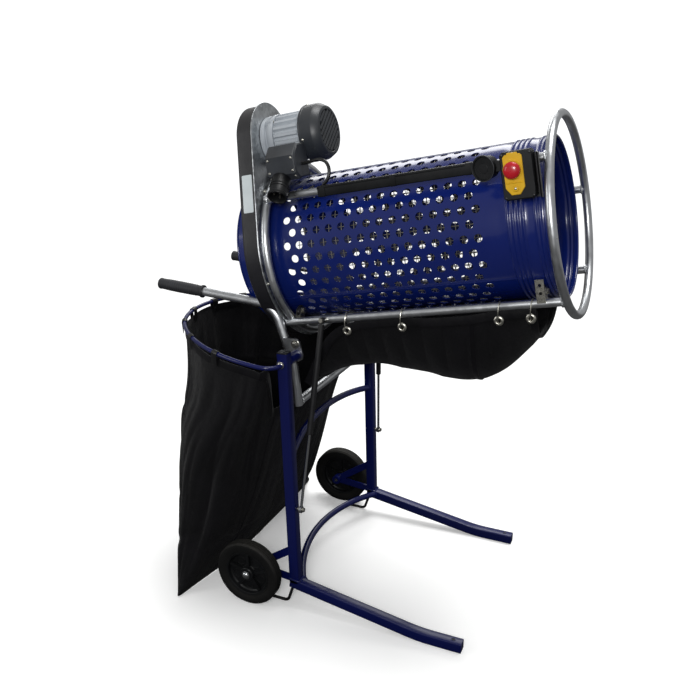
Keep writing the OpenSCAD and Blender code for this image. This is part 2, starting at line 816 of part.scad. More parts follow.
// Lead from the terminal box to the duct on the upper rail
lead_d = 9;
lead_route = [
    [-613, -170, 240], [-598, -170, 240], [-578, -171, 242], [-556, -174, 242], [-540, -178, 234],
    [-532, -183, 218], [-533, -187, 202], [-539, -189, 190], [-547, -190, 183], [-552, -190, 179.5]
];

module motor_cable() {
    color("black") drum_frame() swept(lead_route, lead_d / 2, 12, [0.3, 1, 0.2]);
}

duct_s = [-566, -150];

// Cable duct clipped over the near upper rail
module cable_duct() {
    p = polar(0, ring_d / 2, near_upper_angle);
    color("black") drum_frame() difference() {
        translate([duct_s[0], p.y - 15, p.z - 14]) cube([duct_s[1] - duct_s[0], 28, 28]);
        translate([duct_s[0] - 1, p.y, p.z]) rotate([0, 90, 0]) cylinder(d = rail_d - 2 * fit, h = duct_s[1] - duct_s[0] + 2);
    }
}

// ---------- switch ----------

switch_s = [-82, -8];
switch_y = [-240, -206];
switch_n = [82, 190];
plate_y = switch_y[0];
stop_at = [-53, 150];
start_at = [-51, 108];

module chamfered(x0, x1, z0, z1, c) {
    polygon([[x0 + c, z0], [x1 - c, z0], [x1, z0 + c], [x1, z1 - c], [x1 - c, z1], [x0 + c, z1], [x0, z1 - c], [x0, z0 + c]]);
}

// Extrudes an outline drawn in (s, n) from y0 to y1
module face_slab(y0, y1) {
    translate([0, y1, 0]) rotate([90, 0, 0]) linear_extrude(y1 - y0) children();
}

module switch_box() {
    color("black") drum_frame() difference() {
        face_slab(switch_y[0], switch_y[1]) chamfered(switch_s[0], switch_s[1], switch_n[0], switch_n[1], 6);
        face_slab(switch_y[0] + 3, switch_y[1] - 3)
            chamfered(switch_s[0] + 3, switch_s[1] - 3, switch_n[0] + 3, switch_n[1] - 3, 5);
        face_slab(switch_y[0] - 1, switch_y[0] + 4) translate(stop_at) circle(d = 14 + 2 * fit);
        face_slab(switch_y[0] - 1, switch_y[0] + 4) translate(start_at) circle(d = 14 + 2 * fit);
    }
}

module switch_plate() {
    color("gold") drum_frame() face_slab(plate_y - 4, plate_y) difference() {
        chamfered(-74, -30, 94, 188, 9);
        translate(stop_at) circle(d = 14 + 2 * fit);
        translate(start_at) circle(d = 14 + 2 * fit);
    }
}

// Red mushroom head on its stem
module stop_button() {
    color("red") drum_frame() translate([stop_at.x, plate_y - 4 - 6.5, stop_at.y]) rotate([90, 0, 0]) {
        rotate_extrude($fn = 64) polygon([[0, 0], [16, 0], [19, 3], [19, 7], [16, 11], [9, 13.5], [0, 14.5]]);
        translate([0, 0, -22]) cylinder(d = 14, h = 23);
    }
}

module start_button() {
    color("green") drum_frame() translate([start_at.x, plate_y - 4 - 3.5, start_at.y]) rotate([90, 0, 0])
        translate([0, 0, -18]) cylinder(d = 14, h = 18.5);
}

// Bent steel bracket that carries the switch on the upper rail
module switch_bracket() {
    color("dimgray") drum_frame() {
        translate([0, 0, 80]) linear_extrude(100) polygon([
            [-70, -203], [-70, -206], [-6, -206], [3, -232], [6, -231], [-3, -203]
        ]);
        translate([-56, -204, 156]) cube([36, 5.2, 16]);
    }
}

// Round plug inlet at the switch's left side
module switch_inlet() {
    color("black") drum_frame() {
        translate([-112, -210, 162]) rotate([90, 0, -18]) difference() {
            union() {
                cylinder(d = 52, h = 32);
                translate([0, 0, 26]) cylinder(d = 60, h = 6);
            }
            translate([0, 0, 29]) cylinder(d = 50, h = 4);
        }
        translate([-100, -232, 150]) cube([19, 18, 24]);
    }
}

// ---------- chute under the drum ----------

// Sections of the chute: [x, z of the top edge, z of the bottom, half width of the bottom]
chute_sections = [
    [-10, 668, 640, 150],
    [50, 796, 668, 120],
    [140, 858, 692, 105],
    [300, 889, 692, 100],
    [440, 916, 690, 100],
    [520, 932, 730, 105],
    [612, 950, 846, 130]
];
chute_half = 177;
chute_t = 3;

// Cross-section from the near top edge, down round the trough and up to the far top edge
function chute_rib(c, inset) =
    let (w = chute_half - inset, b = c[3] - inset, z0 = c[2] + inset, mid = (c[1] + c[2]) / 2)
    [[c[0], -w, c[1]], [c[0], -w + 4, mid + 10], [c[0], -b - 16, z0 + 34], [c[0], -b, z0 + 12], [c[0], -b * 0.5, z0 + 2],
     [c[0], 0, z0], [c[0], b * 0.5, z0 + 2], [c[0], b, z0 + 12], [c[0], b + 16, z0 + 34], [c[0], w - 4, mid + 10],
     [c[0], w, c[1]]];

// Sheet slung between the lower rails
module chute_sheet() {
    ribs = len(chute_sections);
    m = 22;
    points = [for (c = chute_sections) each concat(chute_rib(c, 0), [for (k = [10 : -1 : 0]) chute_rib(c, chute_t)[k]])];
    color("dimgray") stand() polyhedron(points, concat(
        [for (i = [0 : ribs - 2]) for (k = [0 : m - 1]) let (q = (k + 1) % m) [i * m + k, (i + 1) * m + q, i * m + q]],
        [for (i = [0 : ribs - 2]) for (k = [0 : m - 1]) let (q = (k + 1) % m) [i * m + k, (i + 1) * m + k, (i + 1) * m + q]],
        [for (k = [0 : 9]) [k, k + 1, m - 2 - k]],
        [for (k = [0 : 9]) [k, m - 2 - k, m - 1 - k]],
        [for (k = [0 : 9]) let (e = (ribs - 1) * m) [e + k + 1, e + k, e + m - 2 - k]],
        [for (k = [0 : 9]) let (e = (ribs - 1) * m) [e + k, e + m - 1 - k, e + m - 2 - k]]
    ));
}

// Split rings that hang the chute from the lower rails
module chute_hooks() {
    r = ring_d / 2;
    color("silver") drum_frame() for (s = [-560, -400, -142, -62]) for (angle = [-lower_rail_angle, lower_rail_angle]) {
        p = polar(s, r, angle);
        translate([p.x, p.y, p.z - 7]) rotate([0, 90, 0]) rotate_extrude($fn = 64) translate([20, 0]) circle(d = 3, $fn = 16);
    }
}

// ---------- drum ----------

bead_s = [-90, -78, -66, -54, -24, -14];

// Rolled drum: sheet shell with stiffening beads, a rolled feed rim and the belt's two guide hoops
module drum_shell() {
    color("mediumblue") drum_frame() rotate([0, 90, 0]) difference() {
        union() {
            translate([0, 0, -drum_len]) cylinder(r = drum_r, h = drum_len, $fn = 128);
            for (s = bead_s) translate([0, 0, s]) rotate_extrude($fn = 128) translate([drum_r - 0.5, 0]) circle(r = 3.5, $fn = 24);
            translate([0, 0, -3]) rotate_extrude($fn = 128) translate([drum_r + 1, 0]) circle(r = 4, $fn = 24);
            translate([0, 0, -drum_len + 3]) rotate_extrude($fn = 128) translate([drum_r - 0.5, 0]) circle(r = 3, $fn = 24);
            for (side = [-1, 1]) translate([0, 0, belt_s + side * (belt_w / 2 + 3.5)])
                rotate_extrude($fn = 128) translate([drum_r - 0.5, 0]) circle(r = 2.5, $fn = 24);
        }
        translate([0, 0, -drum_len - 1]) cylinder(r = drum_r - drum_wall, h = drum_len + 10, $fn = 128);
    }
}

// Wire mesh liner inside the sieve field
module mesh_liner() {
    r = drum_r - drum_wall - fit;
    color("silver") drum_frame() rotate([0, 90, 0]) translate([0, 0, liner_ends[0]]) difference() {
        cylinder(r = r, h = liner_ends[1] - liner_ends[0], $fn = 128);
        translate([0, 0, -1]) cylinder(r = r - 0.8, h = liner_ends[1] - liner_ends[0] + 2, $fn = 128);
    }
}

// ---------- gas struts ----------

// Strut frame: origin at the upper eye, +Z down towards the lower end
module strut_frame() {
    stand() aim(strut_top, strut_foot) children();
}

module strut_cylinder() {
    difference() {
        union() {
            strut_frame() translate([0, 0, 12]) cylinder(d = 16, h = strut_cyl_len - 12);
            strut_frame() translate([0, 0, 5]) cylinder(d = 7, h = 8);
            stand() aim(strut_top, strut_top + strut_axis) cylinder(d = 16, h = 8, center = true);
        }
        strut_frame() translate([0, 0, 20]) cylinder(d = 12, h = strut_cyl_len - 26);
        strut_frame() translate([0, 0, strut_cyl_len - 10]) cylinder(d = 8 + 2 * fit, h = 20);
        stand() aim(strut_top, strut_top + strut_axis) cylinder(d = 8 + 2 * fit, h = 60, center = true);
    }
}

module near_strut_cylinder() {
    color("black") strut_cylinder();
}

module far_strut_cylinder() {
    color("black") mirror([0, 1, 0]) strut_cylinder();
}

// Chromed rod with its piston, and the eye round the post's stud
module strut_rod() {
    strut_frame() {
        translate([0, 0, strut_cyl_len - 34]) cylinder(d = 8, h = strut_len - strut_cyl_len + 25);
        translate([0, 0, strut_cyl_len - 40]) cylinder(d = 12 - 2 * fit, h = 8);
    }
    stand() translate(strut_foot) rotate([0, 90, 0]) difference() {
        cylinder(d = 20, h = 7, center = true);
        cylinder(d = strut_eye_d, h = 9, center = true);
    }
}

module near_strut_rod() {
    color("silver") strut_rod();
}

module far_strut_rod() {
    color("silver") mirror([0, 1, 0]) strut_rod();
}

near_post();
far_post();
near_leg();
far_leg();
stand_arches();
post_caps();
wheel_brackets();
wheel_axles();
hub_caps();
rest_feet();
bag_ring();
pivot_bolts();
strut_studs();
collecting_bag();
near_tyre();
near_wheel_centre();
far_tyre();
far_wheel_centre();
near_handle();
far_handle();
handle_grips();
cross_tube();
pivot_lugs();
cradle_bolts();
feed_ring();
rear_hoop();
lower_rails();
upper_rails();
roller_brackets();
roller_axles();
guard_shell();
guard_plate();
drive_belt();
gearbox_housing();
motor_body();
motor_fan_cover();
terminal_box();
motor_inlet();
motor_cable();
cable_duct();
switch_box();
switch_plate();
switch_bracket();
switch_inlet();
chute_sheet();
chute_hooks();
drum_shell();
mesh_liner();
drive_pulley();
motor_rotor();
near_feed_roller();
far_feed_roller();
near_rear_roller();
far_rear_roller();
near_strut_cylinder();
far_strut_cylinder();
near_strut_rod();
far_strut_rod();
stop_button();
start_button();
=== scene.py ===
# Rotary drum sieve on a two-wheeled stand: camera, studio, materials and every visible piece.
import json
import math
import bmesh
import bpy
import numpy as np
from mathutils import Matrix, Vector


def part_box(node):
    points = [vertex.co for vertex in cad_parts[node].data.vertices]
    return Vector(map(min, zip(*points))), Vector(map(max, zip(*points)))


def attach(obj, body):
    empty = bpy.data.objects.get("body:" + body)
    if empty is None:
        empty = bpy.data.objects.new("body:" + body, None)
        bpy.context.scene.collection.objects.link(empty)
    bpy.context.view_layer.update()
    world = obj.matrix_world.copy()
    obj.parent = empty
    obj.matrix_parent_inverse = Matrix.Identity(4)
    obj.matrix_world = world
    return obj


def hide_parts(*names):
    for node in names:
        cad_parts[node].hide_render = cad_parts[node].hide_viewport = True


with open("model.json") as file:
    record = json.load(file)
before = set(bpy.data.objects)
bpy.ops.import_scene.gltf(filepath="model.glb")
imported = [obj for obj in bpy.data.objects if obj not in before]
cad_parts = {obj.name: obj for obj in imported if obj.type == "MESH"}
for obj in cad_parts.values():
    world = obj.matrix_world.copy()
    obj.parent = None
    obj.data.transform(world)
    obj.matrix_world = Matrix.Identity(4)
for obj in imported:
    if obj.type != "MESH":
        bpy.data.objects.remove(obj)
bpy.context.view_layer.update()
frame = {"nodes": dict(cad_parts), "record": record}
slots = {part["node"]: part["material_slot"] for part in frame["record"]["subparts"]}

# The stand's own axes start between the posts; the drum's start at its feed rim, s along the axis, n
# radially up
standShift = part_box("cross_tube")[0].x + 0.0415
drumTilt = math.radians(11)
feedRim = np.array([0.628 + standShift, 0, 1.15])


def standPoint(x, y, z):
    # metres in the stand's axes to the row's
    return np.stack(np.broadcast_arrays(np.asarray(x, float) + standShift, y, z), -1).astype(float)


def drumPoint(s, y, n):
    # metres along the drum's axis, sideways and radially up, to the row's axes
    s, y, n = np.broadcast_arrays(np.asarray(s, float), y, n)
    return np.stack([feedRim[0] + s * math.cos(drumTilt) - n * math.sin(drumTilt), y,
                     feedRim[2] + s * math.sin(drumTilt) + n * math.cos(drumTilt)], -1).astype(float)


def drumWay(s, y, n):
    # a direction in the drum's axes
    return drumPoint(s, y, n) - drumPoint(0, 0, 0)


drumAlong = drumWay(1, 0, 0)
drumUp = drumWay(0, 0, 1)
sideways = np.array([0.0, 1.0, 0.0])

# ---- camera and light
cameraSet = {"place": (0.8456, -2.0665, 1.5029), "azimuth": 23.85, "pitch": 19.31, "lens": 41.466}
camera = bpy.data.objects.new("camera", bpy.data.cameras.new("camera"))
bpy.context.scene.collection.objects.link(camera)
camera.location = cameraSet["place"]
camera.rotation_euler = (math.radians(90 - cameraSet["pitch"]), 0, math.radians(cameraSet["azimuth"]))
camera.data.sensor_width = 36
camera.data.lens = cameraSet["lens"]
bpy.context.scene.camera = camera


def hexColour(text):
    # sRGB hex to linear RGBA
    values = [int(text[k:k + 2], 16) / 255 for k in (1, 3, 5)]
    return [v / 12.92 if v <= 0.04045 else ((v + 0.055) / 1.055) ** 2.4 for v in values] + [1]


def areaLight(name, place, target, size, watts):
    # a white rectangle of light that faces the target
    light = bpy.data.objects.new(name, bpy.data.lights.new(name, "AREA"))
    light.data.shape = "RECTANGLE"
    light.data.size, light.data.size_y = size
    light.data.energy = watts
    light.location = place
    away = np.array(place, float) - np.array(target, float)
    light.rotation_euler = (math.atan2(math.hypot(away[0], away[1]), away[2]), 0,
                            math.atan2(away[0], -away[1]))
    bpy.context.scene.collection.objects.link(light)


lightSet = {"key": 32, "fill": 16, "back": 30, "top": 2.0, "sky": 0.34, "backdrop": 1.25}
areaLight("key", (0.75, -2.5, 1.85), (0, 0, 0.95), (0.7, 0.45), lightSet["key"])
areaLight("fill", (-3.0, -2.2, 1.8), (0, 0, 0.7), (1.2, 1.6), lightSet["fill"])
areaLight("back", (-1.2, 3.0, 3.0), (0, 0, 1.0), (2.4, 1.2), lightSet["back"])
# an even light from above, so that the floor is the same white everywhere
overhead = bpy.data.objects.new("overhead", bpy.data.lights.new("overhead", "SUN"))
overhead.data.energy, overhead.data.angle = lightSet["top"], 0.5
overhead.rotation_euler = (math.radians(-14), math.radians(6), 0)
bpy.context.scene.collection.objects.link(overhead)
world = bpy.data.worlds.new("studio")
world.use_nodes = True
# a white backdrop behind the object; what it throws onto the object is dimmed, as black flags do in a studio
world.node_tree.nodes["Background"].inputs["Color"].default_value = hexColour("#F8F9FA")
direct = world.node_tree.nodes.new("ShaderNodeLightPath")
strength = world.node_tree.nodes.new("ShaderNodeMapRange")
strength.inputs["To Min"].default_value = lightSet["sky"]
strength.inputs["To Max"].default_value = lightSet["backdrop"]
world.node_tree.links.new(direct.outputs["Is Camera Ray"], strength.inputs["Value"])
world.node_tree.links.new(strength.outputs["Result"], world.node_tree.nodes["Background"].inputs["Strength"])
bpy.context.scene.world = world
# plain sRGB, so that white stays white and the deep blues keep their depth
bpy.context.scene.view_settings.view_transform = "Standard"


# ---- materials
def addNode(tree, kind, inputs=None, **settings):
    # one node with its settings; a socket given as an input is linked, a plain value is set
    node = tree.nodes.new(kind)
    for key, value in settings.items():
        setattr(node, key, value)
    for key, value in (inputs or {}).items():
        if isinstance(value, bpy.types.NodeSocket):
            tree.links.new(value, node.inputs[key])
        else:
            node.inputs[key].default_value = value
    return node


def colourRamp(tree, factor, stops):
    # straight blend between stops of (place, hex colour or grey value)
    node = addNode(tree, "ShaderNodeValToRGB", {"Fac": factor})
    while len(node.color_ramp.elements) < len(stops):
        node.color_ramp.elements.new(0.5)
    for element, (place, colour) in zip(node.color_ramp.elements, stops):
        element.position = place
        element.color = hexColour(colour) if isinstance(colour, str) else (colour, colour, colour, 1)
    return node.outputs["Color"]


def newMaterial(name, **sockets):
    # a Principled shader with its constant values set on its own sockets
    material = bpy.data.materials.new(name)
    material.use_nodes = True
    tree = material.node_tree
    shader = tree.nodes["Principled BSDF"]
    for key, value in sockets.items():
        shader.inputs[key.replace("_", " ")].default_value = value
    place = addNode(tree, "ShaderNodeTexCoord").outputs["Object"]
    return material, tree, shader, place


def noise(tree, place, size, detail=3, stretch=(1, 1, 1)):
    # noise whose features are about size metres across
    mapped = addNode(tree, "ShaderNodeMapping", {"Vector": place, "Scale": [c / size for c in stretch]})
    return addNode(tree, "ShaderNodeTexNoise", {"Vector": mapped.outputs["Vector"], "Scale": 1,
                                                "Detail": detail}).outputs["Fac"]


def finishBump(tree, shader, height, depth, strength=1.0):
    bump = addNode(tree, "ShaderNodeBump", {"Height": height, "Distance": depth, "Strength": strength})
    tree.links.new(bump.outputs["Normal"], shader.inputs["Normal"])


def mottled(name, low, high, size, rough, bumpSize, bumpDepth, stretch=(1, 1, 1), dust=None, **sockets):
    # two close shades blotched together, with a grain of bumpSize metres and uneven gloss between the two
    # rough values
    material, tree, shader, place = newMaterial(name, **sockets)
    blotch = noise(tree, place, size, 4, stretch)
    colour = colourRamp(tree, blotch, [(0.3, low), (0.7, high)])
    if dust:
        # pale dust that lies in patches on faces that look up
        normal = addNode(tree, "ShaderNodeNewGeometry").outputs["Normal"]
        up = addNode(tree, "ShaderNodeSeparateXYZ", {"Vector": normal}).outputs["Z"]
        patch = noise(tree, place, 0.05, 5)
        amount = addNode(tree, "ShaderNodeMath", {0: up, 1: patch}, operation="MULTIPLY",
                         use_clamp=True).outputs[0]
        amount = addNode(tree, "ShaderNodeMath", {0: amount, 1: dust[1]}, operation="MULTIPLY").outputs[0]
        mix = addNode(tree, "ShaderNodeMix", {"Factor": amount}, data_type="RGBA")
        tree.links.new(colour, mix.inputs[6])
        mix.inputs[7].default_value = hexColour(dust[0])
        colour = mix.outputs[2]
    tree.links.new(colour, shader.inputs["Base Color"])
    gloss = colourRamp(tree, noise(tree, place, size * 0.4, 5, stretch), [(0.25, rough[0]), (0.75, rough[1])])
    tree.links.new(gloss, shader.inputs["Roughness"])
    finishBump(tree, shader, noise(tree, place, bumpSize, 2, stretch), bumpDepth)
    return material


# powder coat: thick glossy paint with an orange-peel skin of 3 mm cells
framePaint = mottled("blue_powder_coat", "#050D47", "#07124F", 0.2, (0.26, 0.36), 0.003, 0.00012,
                     Coat_Weight=0.2, Coat_Roughness=0.12, Specular_IOR_Level=0.35)
# drum enamel: wet-sprayed gloss over rolled sheet, flatter skin, faint scuffs
drumPaint = mottled("blue_drum_enamel", "#0A1A5E", "#0E2168", 0.3, (0.18, 0.28), 0.005, 0.0001,
                    Coat_Weight=0.4, Coat_Roughness=0.08, Specular_IOR_Level=0.4)
# bright zinc on drawn tube: soft grey sheen with faint drawing lines
zincTube = mottled("zinc_plated_tube", "#C4C6C8", "#DADCDE", 0.05, (0.26, 0.42), 0.004, 0.00004, Metallic=1.0)
# zinc on turned fasteners: brighter and a little yellow
zincBolt = mottled("zinc_plated_fastener", "#A5A39B", "#C9C6BB", 0.008, (0.22, 0.38), 0.0015, 0.00002,
                   Metallic=1.0)
# hot-dip galvanised sheet: 9 mm spangles, each with its own grey and gloss
galvanised, tree, shader, place = newMaterial("spangled_galvanised_sheet", Metallic=1.0)
cells = addNode(tree, "ShaderNodeTexVoronoi", {"Vector": place, "Scale": 1 / 0.009})
tree.links.new(colourRamp(tree, cells.outputs["Color"], [(0.1, "#A2A5A7"), (0.9, "#CACDCF")]),
               shader.inputs["Base Color"])
tree.links.new(colourRamp(tree, cells.outputs["Color"], [(0.1, 0.28), (0.9, 0.46)]),
               shader.inputs["Roughness"])
finishBump(tree, shader, cells.outputs["Distance"], 0.00003)
# hard chrome on ground rod
chromeRod = mottled("hard_chrome", "#C8CACC", "#D6D8DA", 0.03, (0.06, 0.13), 0.002, 0.000005, Metallic=1.0)
# satin black paint on steel
blackSteel = mottled("satin_black_paint", "#121214", "#1B1B1E", 0.05, (0.34, 0.48), 0.002, 0.00006,
                     dust=("#6B665E", 0.12))
# black nylon and ABS mouldings: spark-eroded grain of about 1 mm, drawn a little coarse to show
blackPlastic = mottled("moulded_black_nylon", "#0B0C0D", "#131416", 0.06, (0.36, 0.5), 0.0011, 0.00008,
                       Specular_IOR_Level=0.3)
guardPlastic = mottled("moulded_charcoal_guard", "#16161A", "#1D1D22", 0.1, (0.38, 0.52), 0.0012, 0.00009,
                       dust=("#8A877F", 0.25))
coverPlastic = mottled("moulded_charcoal_cover", "#25282D", "#2E3238", 0.07, (0.34, 0.48), 0.0011, 0.00008,
                       dust=("#8A877F", 0.2))
rollerNylon = mottled("turned_black_nylon", "#101011", "#1A1A1C", 0.02, (0.3, 0.42), 0.001, 0.00003)
yellowPlastic = mottled("moulded_yellow_abs", "#D3A40E", "#DEB016", 0.03, (0.28, 0.38), 0.0012, 0.00004,
                        Specular_IOR_Level=0.5)
redPlastic = mottled("moulded_red_abs", "#B01420", "#C21A28", 0.02, (0.24, 0.34), 0.0012, 0.00003,
                     Coat_Weight=0.3)
greenPlastic = mottled("moulded_green_abs", "#1C6B36", "#23783E", 0.01, (0.28, 0.38), 0.0012, 0.00003)
# solid rubber: dull, dusty in its grooves
tyreRubber = mottled("solid_tyre_rubber", "#090909", "#111111", 0.03, (0.6, 0.8), 0.0014, 0.00015,
                     dust=("#6E6A62", 0.2),
                      Specular_IOR_Level=0.25)
gripRubber = mottled("soft_grip_rubber", "#1C1D20", "#27282C", 0.04, (0.5, 0.66), 0.001, 0.00008)
beltRubber = mottled("belt_rubber", "#101011", "#171718", 0.03, (0.5, 0.65), 0.001, 0.00005)
cableRubber = mottled("cable_sheath_rubber", "#0C0C0D", "#131314", 0.02, (0.28, 0.4), 0.0012, 0.00003)
# light grey motor enamel over sand-cast aluminium, 1.5 mm casting grain
motorPaint = mottled("grey_motor_enamel", "#A6ACB3", "#B5BBC1", 0.05, (0.34, 0.48), 0.0015, 0.00016,
                     Coat_Weight=0.2,
                     dust=("#B9B6AE", 0.25))
castAluminium = mottled("cast_aluminium", "#9A9C9E", "#B2B4B6", 0.02, (0.38, 0.52), 0.0012, 0.0001,
                        Metallic=1.0)
meshWire = mottled("woven_steel_wire", "#8A8880", "#B5B2A6", 0.03, (0.34, 0.5), 0.001, 0.00003, Metallic=1.0)
labelFilm = mottled("blank_label_film", "#C9D2D4", "#D6DEE0", 0.04, (0.3, 0.4), 0.002, 0.00002)

# coated nylon bag cloth: 1.4 mm basket weave drawn on the cloth's own metres, soft sheen and shallow creases
nylonCloth, tree, shader, place = newMaterial("coated_black_nylon", Sheen_Weight=0.06, Sheen_Roughness=0.4,
                                              Specular_IOR_Level=0.16)
clothMetres = addNode(tree, "ShaderNodeUVMap", uv_map="clothMetres").outputs["UV"]
threads = [addNode(tree, "ShaderNodeTexWave", {"Vector": clothMetres, "Scale": 1 / 0.0014 / 3.2,
                                               "Distortion": 0.3},
                   bands_direction=way).outputs["Fac"] for way in ("X", "Y")]
weave = addNode(tree, "ShaderNodeMath", {0: threads[0], 1: threads[1]}, operation="MULTIPLY").outputs[0]
creases = noise(tree, place, 0.045, 4)
height = addNode(tree, "ShaderNodeMath", {0: creases, 1: 9.0, 2: weave}, operation="MULTIPLY_ADD").outputs[0]
finishBump(tree, shader, height, 0.00035)
tree.links.new(colourRamp(tree, noise(tree, place, 0.09, 5), [(0.3, "#08080A"), (0.75, "#0F0E12")]),
               shader.inputs["Base Color"])
tree.links.new(colourRamp(tree, noise(tree, place, 0.03, 3), [(0.3, 0.42), (0.7, 0.6)]),
               shader.inputs["Roughness"])

slotMaterials = {
    "frame_paint": framePaint, "drum_paint": drumPaint, "galvanised_tube": zincTube,
                 "galvanised_plate": galvanised,
    "zinc_steel": zincBolt, "bright_caps": chromeRod, "chromed_rod": chromeRod, "black_steel": blackSteel,
    "black_plastic": blackPlastic, "guard_plastic": guardPlastic, "roller_plastic": rollerNylon,
    "yellow_plastic": yellowPlastic, "red_plastic": redPlastic, "green_plastic": greenPlastic,
    "tyre_rubber": tyreRubber, "grip_rubber": gripRubber, "belt_rubber": beltRubber,
                 "cable_rubber": cableRubber,
    "motor_paint": motorPaint, "cast_aluminium": castAluminium, "mesh_wire": meshWire,
                 "black_fabric": nylonCloth,
}
for nodeName, cadPiece in frame["nodes"].items():
    cadPiece.data.materials.clear()
    cadPiece.data.materials.append(slotMaterials[slots[nodeName]])
print("camera, light and materials made")


# ---- shape tools
def gridFaces(rows, columns, closeRows=False, closeColumns=False, start=0):
    # quads over a grid of points stored row by row
    i = np.arange(rows if closeRows else rows - 1)[:, None]
    j = np.arange(columns if closeColumns else columns - 1)[None, :]
    a, b = i * columns + j, i * columns + (j + 1) % columns
    c, d = (i + 1) % rows * columns + (j + 1) % columns, (i + 1) % rows * columns + j
    return (np.stack([a, b, c, d], -1).reshape(-1, 4) + start).tolist()


def shell(points, closeRows=False, closeColumns=True, caps=True):
    # points[rows, columns, 3]; caps close the first and last rows with one face each
    rows, columns = points.shape[:2]
    faces = gridFaces(rows, columns, closeRows, closeColumns)
    if caps and not closeRows:
        faces += [list(range(columns)), list(range((rows - 1) * columns, rows * columns))]
    return points.reshape(-1, 3), faces


def axesAlong(path, up, closed=False):
    # unit tangents with two unit normals, the first as near as it can be to up
    ahead = np.roll(path, -1, 0) - np.roll(path, 1, 0)
    if not closed:
        ahead[0], ahead[-1] = path[1] - path[0], path[-1] - path[-2]
    ahead /= np.linalg.norm(ahead, axis=1, keepdims=True)
    side = np.cross(ahead, np.broadcast_to(up, ahead.shape))
    side /= np.linalg.norm(side, axis=1, keepdims=True)
    return ahead, side, np.cross(side, ahead)


def tube(path, radius, sides=24, up=(0, 0, 1), closed=False):
    # a circle of the given radius, one value or one for each point, carried along the path
    path = np.asarray(path, float)
    _, side, over = axesAlong(path, up, closed)
    angle = np.arange(sides) / sides * 2 * np.pi
    radius = np.broadcast_to(radius, len(path))[:, None, None]
    ring = np.cos(angle)[None, :, None] * side[:, None] + np.sin(angle)[None, :, None] * over[:, None]
    return shell(path[:, None] + radius * ring, closed, True, not closed)


def carried(path, outline, up=(0, 0, 1), closed=False):
    # an outline of (side, over) points carried along the path
    path, outline = np.asarray(path, float), np.asarray(outline, float)
    _, side, over = axesAlong(path, up, closed)
    return shell(path[:, None] + outline[None, :, :1] * side[:, None] + outline[None, :, 1:]
                 * over[:, None], closed, True, not closed)


def turned(profile, centre, axis, sides=48):
    # a profile of (radius, height) points turned about the axis from centre; a zero radius closes a pole
    profile, axis = np.asarray(profile, float), np.asarray(axis, float) / np.linalg.norm(axis)
    first = np.cross(axis, [0.3, 0.2, 0.9]) if abs(axis[2]) < 0.9 else np.cross(axis, [1, 0, 0])
    first /= np.linalg.norm(first)
    second = np.cross(axis, first)
    angle = np.arange(sides) / sides * 2 * np.pi
    ring = np.cos(angle)[:, None] * first + np.sin(angle)[:, None] * second
    points = np.asarray(centre) + profile[:, None, 1:] * axis + profile[:, None, :1] * ring[None]
    return shell(points, False, True, False)


def roundedOutline(width, height, corner, steps=4):
    # rectangle with round corners as (x, y) points
    turn = np.linspace(0, np.pi / 2, steps)
    parts = []
    for k, (sx, sy) in enumerate([(1, 1), (-1, 1), (-1, -1), (1, -1)]):
        centre = np.array([sx * (width / 2 - corner), sy * (height / 2 - corner)])
        parts.append(centre + corner * np.stack([np.cos(turn + k * np.pi / 2),
                                                 np.sin(turn + k * np.pi / 2)], -1))
    return np.concatenate(parts)


def plate(outline, place, along, across, through, edge=0.0006):
    # a flat plate of the outline's shape with softened edges; place is its origin, through its thickness
    # as a vector
    outline, through = np.asarray(outline, float), np.asarray(through, float)
    middle = outline.mean(0)
    thick = np.linalg.norm(through)
    pull = edge / np.abs(outline - middle).max()
    rows = [(1 - pull, 0), (1, edge / thick), (1, 1 - edge / thick), (1 - pull, 1)]
    flat = [(middle + (outline - middle) * scale) for scale, _ in rows]
    points = np.stack([np.asarray(place) + f[:, :1] * np.asarray(along) + f[:, 1:] * np.asarray(across) + h
                       * through
                       for f, (_, h) in zip(flat, rows)])
    return shell(points)


def arc(centre, radius, start, end, steps):
    # points of an arc in a plane, angles in degrees
    angle = np.radians(np.linspace(start, end, steps))
    return np.asarray(centre) + radius * np.stack([np.cos(angle), np.sin(angle)], -1)


def softCorners(points, radius, steps=8):
    # a polyline whose inner corners are rounded by quadratic curves that start radius before each corner
    points = np.asarray(points, float)
    made = [points[:1]]
    t = np.linspace(0, 1, steps)[:, None]
    for before, corner, after in zip(points, points[1:], points[2:]):
        a = corner + (before - corner) * min(0.49, radius / np.linalg.norm(before - corner))
        b = corner + (after - corner) * min(0.49, radius / np.linalg.norm(after - corner))
        made.append((1 - t) ** 2 * a + 2 * t * (1 - t) * corner + t ** 2 * b)
    return np.concatenate(made + [points[-1:]])


